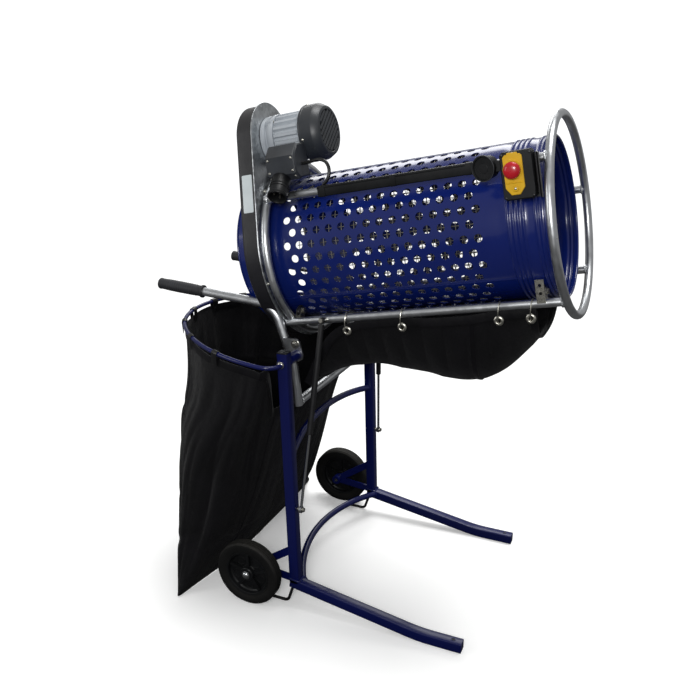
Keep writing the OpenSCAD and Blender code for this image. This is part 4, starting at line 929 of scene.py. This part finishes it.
beadSteps = np.concatenate([c + np.linspace(-0.0052, 0.0052, 9) for c in drum["beads"]])
frontSteps = np.unique(np.round(np.concatenate([[fieldEnd, -0.115, -0.04, -0.033, -0.003], beadSteps]), 5))
backSteps = np.array([-0.842, -0.8, -0.75, fieldStart])
drumPiece = addPiece("perforated_drum", perforatedField() + [blankBand(frontSteps), blankBand(backSteps)],
                     None, "drum_paint", merge=0.0001, sharp=40, openEdges=True)
wall = drumPiece.modifiers.new("sheet", "SOLIDIFY")
wall.thickness, wall.offset = drum["wall"], -1
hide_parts("drum_shell")
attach(drumPiece, "drum")


def drumHoop(s, radius, thick, sides=12, steps=192):
    # a round bar bent into a circle about the drum's axis
    angle = np.arange(steps) / steps * 2 * np.pi
    return tube(onDrum(s, angle, radius), thick, sides, drumAlong, True)


addPiece("drum_rolled_rims", [drumHoop(-0.003, 0.201, 0.0038), drumHoop(-0.842, 0.1995, 0.003)], "drum",
         "drum_paint")
addPiece("drum_belt_guides", [drumHoop(drum["belt"] + side * 0.0095, 0.2, 0.0024, 10) for side in (-1, 1)],
         "drum", "drum_paint")
seamAngle = -12.5 * rowAngle
seamLine = onDrum(np.array([-0.836, fieldStart, fieldEnd, -0.1, -0.008]), seamAngle, drum["radius"] + 0.0002)
seamUp = onDrum(0, seamAngle, 1.0) - onDrum(0, 0, 0.0)
addPiece("drum_welded_seam", [carried(seamLine, roundedOutline(0.005, 0.0012, 0.0005), up=seamUp)], "drum",
         "drum_paint")

# wire cloth liner: rings half a pitch apart and straight wires half a row apart, so that a cross fills
# each hole
wire = {"radius": 0.0011, "ring": 0.1966, "straight": 0.1945}
ringPlaces = drum["first"] + drum["pitch"] / 2 * np.arange(2, 2 * drum["across"] + 1)
wires = [drumHoop(s, wire["ring"], wire["radius"], 4, 96) for s in ringPlaces]
straightAngles = rowAngle / 2 * np.arange(2 * drum["rows"])
wires += [tube(onDrum(np.array([ringPlaces[0] - 0.006, ringPlaces[-1] + 0.006]), a, wire["straight"]),
               wire["radius"], 4, (0.1, 1, 0.2)) for a in straightAngles]
addPiece("woven_wire_liner", wires, "drum", "mesh_wire", replaces=["mesh_liner"], sharp=60)
print("drum made")

# ---- belt guard
guard = {"radius": 0.247, "topRadius": 0.097, "top": (-0.07, 0.31), "hole": 0.213, "front": -0.7472,
         "back": -0.8, "wall": 0.0025}


def teardropLine(inset, steps=96):
    # two circles joined by their outer tangents, every radius less by the inset, as (y, n)
    away = math.hypot(*guard["top"])
    lean = math.degrees(math.atan2(guard["top"][1], guard["top"][0]))
    half = math.degrees(math.acos((guard["radius"] - guard["topRadius"]) / away))
    large = arc((0, 0), guard["radius"] - inset, lean + half, lean - half + 360, steps)
    small = arc(guard["top"], guard["topRadius"] - inset, lean - half, lean + half, steps // 2)
    line = np.concatenate([large, small])
    closed = np.concatenate([line, line[:1]])
    far = np.concatenate([[0], np.cumsum(np.linalg.norm(np.diff(closed, axis=0), axis=1))])
    even = np.arange(len(line) * 2) / (len(line) * 2) * far[-1]
    return np.stack([np.interp(even, far, closed[:, 0]), np.interp(even, far, closed[:, 1])], -1)


def guardRow(s, inset, hole=0.0):
    # one ring of the moulding; hole moves the ring from the rim to the round opening
    line = teardropLine(inset)
    if hole:
        line = line / np.linalg.norm(line, axis=1, keepdims=True) * (guard["hole"] + hole)
    return drumPoint(s, line[:, 0], line[:, 1])


edge = 0.012
turn = np.radians(np.linspace(0, 90, 7))
outer = [guardRow(guard["front"], 0.0), guardRow(-0.765, 0.0)]
outer += [guardRow(guard["back"] + edge - edge * math.sin(t), edge - edge * math.cos(t)) for t in turn]
outer += [guardRow(guard["back"], edge * 1.6), guardRow(guard["back"], 0, 0.004),
          guardRow(guard["back"] + 0.0012, 0, 0.0002)]
inner = [guardRow(guard["back"] + guard["wall"], 0, 0.0005),
         guardRow(guard["back"] + guard["wall"], edge * 1.6)]
inner += [guardRow(guard["back"] + edge - (edge - guard["wall"]) * math.sin(t), edge
                   - (edge - guard["wall"]) * math.cos(t)) for t in turn[::-1]]
inner += [guardRow(guard["front"], guard["wall"])]
addPiece("belt_guard_moulding", [shell(np.stack(outer + inner), True)], "cradle", "guard_plastic",
         replaces=["guard_shell"])
# turned lip where the moulding meets the plate
lipLine = guardRow(-0.749, -0.0012)
addPiece("belt_guard_lip", [tube(lipLine, 0.0022, 8, drumAlong, True)], "cradle", "guard_plastic",
         blackPlastic)
plateEdge = guardRow(-0.7455, -0.0048)
addPiece("guard_plate_hem", [tube(plateEdge, 0.0019, 8, drumAlong, True)], "cradle", "galvanised_plate")
# blank panel on the near flat of the rim
lean = math.atan2(guard["top"][1], guard["top"][0])
half = math.acos((guard["radius"] - guard["topRadius"]) / math.hypot(*guard["top"]))
faceOut = np.array([math.cos(lean + half), math.sin(lean + half)])
faceUp = np.array([faceOut[1], -faceOut[0]]) * (1 if -faceOut[0] > 0 else -1)
low = faceOut * guard["radius"] + faceUp * 0.075
outDirection = drumWay(0, *faceOut)
upDirection = drumWay(0, *faceUp)
panel = plate(roundedOutline(0.031, 0.1, 0.003) + [0, 0.05], drumPoint(-0.7705, *low), drumAlong,
              upDirection, outDirection * 0.0005, 0.0002)
addPiece("blank_guard_panel", [panel], "cradle", "guard_plastic", labelFilm)

# ---- motor
motor = {"y": -0.07, "n": 0.31, "fins": 20}


def onMotor(s, angle, radius):
    # a point at s along the motor's axis and angle from sideways, on a cylinder of the radius
    return drumPoint(s, motor["y"] + radius * np.cos(angle), motor["n"] + radius * np.sin(angle))


motorAt = drumPoint(0, motor["y"], motor["n"])
bell = turned([(0.031, -0.7438), (0.06, -0.7438), (0.0632, -0.7425), (0.064, -0.74), (0.064, -0.733),
               (0.0625, -0.7315), (0.0565, -0.73),
               (0.056, -0.727), (0.0612, -0.724), (0.0645, -0.72), (0.0655, -0.715), (0.0655, -0.706),
               (0.0648, -0.7045),
               (0.056, -0.7045), (0.031, -0.7045)], motorAt, drumAlong, 96)
lugs, bolts = [], []
for degreesUp in (40, 130, 220, 310):
    a = math.radians(degreesUp)
    at = onMotor(-0.727, a, 0.06)
    lugs.append(turned([(0, 0), (0.0085, 0), (0.009, 0.001), (0.009, 0.0175), (0.008, 0.0185), (0, 0.0185)],
                       at, drumAlong, 24))
    bolts.append(hexNut(onMotor(-0.7086, a, 0.0605), drumAlong, 0.0105, 0.0045))
    lugs.append(turned([(0, 0), (0.0075, 0), (0.008, 0.001), (0.008, 0.01), (0, 0.01)],
                       onMotor(-0.631, a, 0.06), drumAlong, 24))
addPiece("motor_end_bell", [bell] + lugs[::2], "cradle", "motor_paint", replaces=["gearbox_housing"])
# the ribbed barrel: radius steps between rib tops and valleys over each rib's share of the turn
angle = np.arange(motor["fins"] * 12) / (motor["fins"] * 12) * 2 * np.pi
phase = (angle * motor["fins"] / (2 * np.pi)) % 1
rib = smoothStep(0.2, 0.34, phase) * (1 - smoothStep(0.66, 0.8, phase))
barrelRows = [(-0.705, 0.0), (-0.7035, 0.35), (-0.701, 1.0), (-0.631, 1.0), (-0.6285, 0.4), (-0.627, 0.0)]
barrel = np.stack([onMotor(s, angle, 0.056 + 0.0082 * rib * share) for s, share in barrelRows])
endBand = turned([(0.05, -0.628), (0.064, -0.628), (0.065, -0.627), (0.065, -0.621), (0.05, -0.621),
                  (0.05, -0.628)], motorAt, drumAlong, 96)
pad = plate(roundedOutline(0.078, 0.074, 0.004), onMotor(-0.668, 0, 0) + drumWay(0, -0.052, -0.035),
            drumAlong,
            drumWay(0, 0.5, 1), drumWay(0, -0.012, 0.006), 0.0015)
addPiece("motor_ribbed_barrel", [shell(barrel), endBand, pad] + lugs[1::2], "cradle", "motor_paint",
         replaces=["motor_body"])
addPiece("motor_bolts", bolts, "cradle", "zinc_steel")
cover = turned([(0.064, -0.622), (0.0742, -0.622), (0.075, -0.6205), (0.075, -0.615), (0.0743, -0.6142),
                (0.0743, -0.586), (0.0738, -0.5835),
                (0.064, -0.5662), (0.062, -0.5648), (0.056, -0.5642), (0.0545, -0.5655), (0.0545, -0.57),
                (0.0, -0.57)], motorAt, drumAlong, 96)
slats = []
slatTurn = math.radians(35)
slatAlong = onMotor(0, slatTurn, 1.0) - motorAt
slatAcross = onMotor(0, slatTurn + math.pi / 2, 1.0) - motorAt
for k in range(-4, 5):
    reach = math.sqrt(max(0.0552 ** 2 - (abs(k) * 0.0118 + 0.003) ** 2, 0))
    centre = onMotor(-0.5702, 0, 0) + slatAcross * k * 0.0118
    slats.append(plate(roundedOutline(2 * reach, 0.0066, 0.0012), centre, slatAlong, slatAcross, drumAlong
                       * 0.0058, 0.0008))
coverScrews = [dome(onMotor(-0.612, math.radians(d), 0.0742), onMotor(0, math.radians(d), 1.0) - motorAt,
                    0.0042, 0.0022, 20) for d in (10, 100, 190, 280)]
addPiece("motor_cover", [cover] + slats, "cradle", "black_plastic", coverPlastic,
         replaces=["motor_fan_cover"])
addPiece("motor_cover_screws", coverScrews, "cradle", "zinc_steel")

# terminal box, its lid and screws
boxStart = -0.7
outline = [(-0.206, 0.222), (-0.19, 0.206), (-0.136, 0.206), (-0.134, 0.208), (-0.134, 0.29),
           (-0.136, 0.292), (-0.18, 0.292), (-0.206, 0.266)]
boxBody = plate(outline, drumPoint(boxStart, 0, 0), sideways, drumUp, drumAlong * 0.088, 0.0035)
lidLine = [(-0.2085, 0.2205), (-0.1915, 0.2035), (-0.176, 0.2035), (-0.176, 0.2945), (-0.181, 0.2945),
           (-0.2085, 0.267)]
boxLid = plate(lidLine, drumPoint(boxStart + 0.003, 0, 0), sideways, drumUp, drumAlong * 0.082, 0.003)
neck = plate(roundedOutline(0.056, 0.05, 0.004) + [-0.65, 0.258], drumPoint(0, -0.136, 0), drumAlong,
             drumUp, sideways * 0.02, 0.001)
addPiece("motor_terminal_box", [boxBody, boxLid, neck], "cradle", "black_plastic", coverPlastic,
         replaces=["terminal_box"])
boxScrews = [dome(drumPoint(s, -0.2084, n), (0, -1, 0), 0.0036, 0.0022, 20) for s in (-0.69, -0.622)
             for n in (0.228, 0.26)]
boxScrews += [dome(drumPoint(s, -0.2, 0.213), drumWay(0, -0.7, -0.7), 0.0034, 0.0022, 20)
              for s in (-0.692, -0.62)]
addPiece("terminal_box_screws", boxScrews, "cradle", "zinc_steel")
inletAxis = drumWay(0, -math.sqrt(0.5), -math.sqrt(0.5))
inletAt = drumPoint(-0.664, -0.212, 0.196)
inletBody = turned([(0, -0.022), (0.0235, -0.022), (0.025, -0.0195), (0.025, 0.03), (0.0268, 0.032),
                    (0.0268, 0.0385), (0.0258, 0.04), (0.0222, 0.04),
                    (0.0212, 0.0385), (0.021, 0.015), (0, 0.015)], inletAt, inletAxis, 64)
ribs = [turned([(0.0248, h), (0.0262, h + 0.0008), (0.0262, h + 0.0022), (0.0248, h + 0.003)], inletAt,
               inletAxis, 64) for h in (0.004, 0.012)]
addPiece("motor_plug_inlet", [inletBody] + ribs, "cradle", "black_plastic", replaces=["motor_inlet"])
pinAcross = np.cross(inletAxis, drumAlong)
pins = [turned([(0, 0), (0.0028, 0), (0.0028, 0.015), (0.002, 0.0175), (0, 0.018)],
               inletAt + inletAxis * 0.0148 + (drumAlong * math.cos(t) + pinAcross * math.sin(t)) * 0.0105,
               inletAxis, 16)
        for t in (0.5, 2.6, 4.7)]
addPiece("plug_inlet_pins", pins, "cradle", "zinc_steel")

# duct over the upper rail: a channel, a lid and three clips
railY, railN = 0.25 * math.sin(math.radians(-49)), 0.25 * math.cos(math.radians(-49))
ductLine = drumPoint(np.linspace(-0.566, -0.15, 5), railY - 0.001, railN)
duct = [carried(ductLine, roundedOutline(0.0272, 0.0272, 0.003), up=drumUp),
        carried(drumPoint(np.linspace(-0.5655, -0.1505, 5), railY - 0.001, railN + 0.0105),
                roundedOutline(0.029, 0.0062, 0.0014), up=drumUp)]
for s in (-0.552, -0.358, -0.166):
    duct.append(carried(drumPoint(np.array([s - 0.007, s + 0.007]), railY - 0.001, railN),
                        roundedOutline(0.0298, 0.0288, 0.003), up=drumUp))
addPiece("rail_cable_duct", duct, "cradle", "black_plastic", replaces=["cable_duct"])

# ---- switch
switch = {"s": -0.045, "n": 0.136, "front": -0.24, "width": 0.074, "height": 0.108}
face = drumPoint(switch["s"], 0, switch["n"])


def chamferedLine(width, height, cut):
    # a rectangle with its corners cut off
    w, h = width / 2, height / 2
    return [(-w + cut, -h), (w - cut, -h), (w, -h + cut), (w, h - cut), (w - cut, h), (-w + cut, h),
            (-w, h - cut), (-w, -h + cut)]


def facing(outlinePoints, y, depth, edgeSize):
    # an outline in (s, n) about the switch's middle, from y towards the back
    return plate(outlinePoints, face + sideways * y, drumAlong, drumUp, sideways * depth, edgeSize)


boxLine = chamferedLine(switch["width"], switch["height"], 0.006)
addPiece("switch_enclosure", [facing(boxLine, -0.2245, 0.0185, 0.0015),
                              facing(boxLine, switch["front"], 0.0148, 0.003),
                              facing(chamferedLine(0.0725, 0.1065, 0.006), -0.226, 0.003, 0.0002)],
         "cradle", "black_plastic", replaces=["switch_box"])
screws = [dome(face + drumAlong * (sx * 0.0315) + drumUp * (sz * 0.0475) + sideways * -0.2401, (0, -1, 0),
               0.0033, 0.0018, 20)
          for sx in (-1, 1) for sz in (-1, 1)]
addPiece("switch_screws", screws, "cradle", "black_steel")
shield = [(-22, -31), (-10, -47), (10, -47), (22, -31), (22, 38), (17, 43), (13, 43), (11, 47), (-11, 47),
          (-13, 43), (-17, 43), (-22, 38)]
shieldLine = np.array(shield) / 1000 + [-0.007, 0.005]
flap = [facing(shieldLine, -0.244, 0.0042, 0.0012)]
flap.append(turned([(0.0195, 0), (0.0225, 0), (0.0225, 0.0022), (0.0215, 0.003), (0.0195, 0.003)],
                   drumPoint(-0.053, -0.2438, 0.15), (0, -1, 0), 48))
knuckleN = -0.0145
for s in (-0.021, -0.007, 0.007):
    line = np.stack([face + drumAlong * (s - 0.0055) + drumUp * knuckleN + sideways * -0.2442,
                     face + drumAlong * (s + 0.0055) + drumUp * knuckleN + sideways * -0.2442])
    flap.append(tube(line, 0.0017, 12))
addPiece("switch_yellow_plate", flap, "cradle", "yellow_plastic", replaces=["switch_plate"])
stopAt = drumPoint(-0.053, -0.2505, 0.15)
mushroom = turned([(0, 0.0), (0.0155, 0.0), (0.0182, 0.0016), (0.019, 0.0034), (0.019, 0.0066),
                   (0.018, 0.0092), (0.015, 0.0118), (0.01, 0.0137),
                   (0.005, 0.0144), (0, 0.0145)], stopAt, (0, -1, 0), 64)
stem = turned([(0, -0.0215), (0.0068, -0.0215), (0.0068, 0.0005), (0, 0.0005)], stopAt, (0, -1, 0), 32)
grips = [turned([(0, 0), (0.0011, 0), (0.0011, 0.0052), (0.0006, 0.0062), (0, 0.0062)],
                stopAt + (drumAlong * math.cos(a) + drumUp * math.sin(a)) * 0.0184 - sideways * 0.0024,
                (0, -1, 0), 10)
         for a in np.radians(np.arange(0, 360, 30))]
addPiece("stop_mushroom", [mushroom, stem] + grips, "stop_button", "red_plastic", replaces=["stop_button"])
startAt = drumPoint(-0.051, -0.2475, 0.108)
addPiece("start_button_cap", [turned([(0, -0.018), (0.0068, -0.018), (0.0068, -0.0008), (0.0058, 0.0004),
                                      (0.0034, 0.0006), (0.0034, 0.0001), (0, 0.0001)],
                                     startAt, (0, -1, 0), 32)], "start_button", "green_plastic",
         yellowPlastic, replaces=["start_button"])
addPiece("start_button_mark", [dome(startAt + sideways * 0.0002, (0, -1, 0), 0.0032, 0.0014, 24)],
         "start_button", "zinc_steel")
plugAxis = drumWay(-math.sin(math.radians(18)), -math.cos(math.radians(18)), 0)
plugAt = drumPoint(-0.112, -0.21, 0.162)
socket = turned([(0, 0), (0.025, 0), (0.026, 0.0012), (0.026, 0.024), (0.0285, 0.0258), (0.03, 0.0275),
                 (0.03, 0.031), (0.029, 0.032),
                 (0.0262, 0.032), (0.025, 0.0306), (0.0246, 0.0292), (0.012, 0.0288), (0.011, 0.0298),
                 (0, 0.03)], plugAt, plugAxis, 72)
socketNeck = plate(roundedOutline(0.019, 0.024, 0.002), drumPoint(-0.0905, -0.232, 0.162), drumAlong,
                   drumUp, sideways * 0.018, 0.001)
addPiece("switch_plug_inlet", [socket, socketNeck], "cradle", "black_plastic", replaces=["switch_inlet"])
# a real lip round the socket's mouth, drawn in lighter charcoal than the black socket: the lighter colour is
# a painted highlight along the rim
addPiece("plug_inlet_lip_painted_highlight", [tube(roundLoop(plugAt + plugAxis * 0.0314, plugAxis, 0.0293, 72), 0.0008, 8,
                                 plugAxis, True)],
         "cradle", "black_plastic", coverPlastic)
print("guard, motor and switch made")

# ---- welds of the cradle
welds = []
for angleDegrees in (135, -135, -49, 82):
    a = math.radians(angleDegrees)
    for s, ringAt in ((0.02, 0.25), (-0.73, 0.239)):
        if s < 0 and abs(angleDegrees) == 135:
            continue
        centre = drumPoint(s - math.copysign(0.0095, s), 0.25 * math.sin(a), 0.25 * math.cos(a))
        welds.append(weldBead(roundLoop(centre, drumAlong, 0.0118), 0.0024, up=drumAlong))
for sign in (-1, 1):
    welds.append(weldBead(roundLoop(standPoint(-0.029, sign * 0.1875, 0.61), (0, 1, 0), 0.0118), 0.0022,
                          up=(0, 1, 0)))
addPiece("cradle_welds", welds, "cradle", "galvanised_tube")

# ---- grips: a soft sleeve with raised bands and a thumb flange, radius as a function of the distance
# along the tube
gripSet = {"tip": (-0.47, 0.2, 0.909), "slope": math.atan2(-0.023, 0.372), "radius": 0.0165}
gripTurn = (math.cos(gripSet["slope"]), math.sin(gripSet["slope"]))
distance = np.concatenate([[-0.004, -0.0038, -0.003, -0.0015, 0.001], np.arange(0.004, 0.136, 0.0012),
                           [0.137, 0.1385, 0.1395, 0.1405, 0.144, 0.1452, 0.146]])
bands = 0.0006 * (np.cos(distance / 0.0075 * 2 * np.pi) > 0.2) * (distance > 0.022) * (distance < 0.122)
palm = 0.0009 * np.sin(np.clip(distance / 0.136, 0, 1) * np.pi) - 0.0006
gripRadius = gripSet["radius"] - 0.0006 + palm + bands
gripRadius[:5] = [0.011, 0.0135, 0.015, 0.016, 0.0163]
gripRadius[-7:] = [0.0163, 0.0168, 0.0176, 0.0184, 0.0184, 0.0178, 0.0168]
sleeves = []
for sign in (-1, 1):
    tip = standPoint(gripSet["tip"][0], sign * gripSet["tip"][1], gripSet["tip"][2])
    line = tip + distance[:, None] * np.array([gripTurn[0], 0, gripTurn[1]])
    sleeves.append(tube(line, gripRadius, 40, (0, 1, 0)))
addPiece("handle_grip_sleeves", sleeves, "cradle", "grip_rubber", replaces=["handle_grips"])
print("grips made")


def clothArea(piece):
    # the area of one face of the cloth, in square metres
    area = np.zeros(len(piece.data.polygons))
    piece.data.polygons.foreach_get("area", area)
    return float(area.sum())


bagArea, chuteArea = clothArea(bagCloth), clothArea(chuteCloth)
print("bag cloth", round(bagArea, 3), "m2, chute cloth", round(chuteArea, 3), "m2")

# ---- floor
floorMesh = bpy.data.meshes.new("floor")
floorMesh.from_pydata([(-6, -6, 0), (6, -6, 0), (6, 6, 0), (-6, 6, 0)], [], [(0, 1, 2, 3)])
floor = bpy.data.objects.new("floor", floorMesh)
bpy.context.scene.collection.objects.link(floor)
floorPaint, tree, shader, place = newMaterial("pale_floor_paint", Roughness=0.7)
tree.links.new(colourRamp(tree, noise(tree, place, 0.5), [(0.3, "#F3F3F2"), (0.7, "#F7F7F6")]),
               shader.inputs["Base Color"])
# what the floor throws back at the object is dimmed in the same way as the backdrop
direct = addNode(tree, "ShaderNodeLightPath").outputs["Is Camera Ray"]
darkFloor = addNode(tree, "ShaderNodeBsdfDiffuse", {"Color": hexColour("#4A4A4A")}).outputs["BSDF"]
shader.inputs["Emission Color"].default_value = (1, 1, 1, 1)
shader.inputs["Emission Strength"].default_value = 0.22
mixed = addNode(tree, "ShaderNodeMixShader", {"Fac": direct, 1: darkFloor, 2: shader.outputs["BSDF"]})
tree.links.new(mixed.outputs["Shader"], tree.nodes["Material Output"].inputs["Surface"])
floor.data.materials.append(floorPaint)
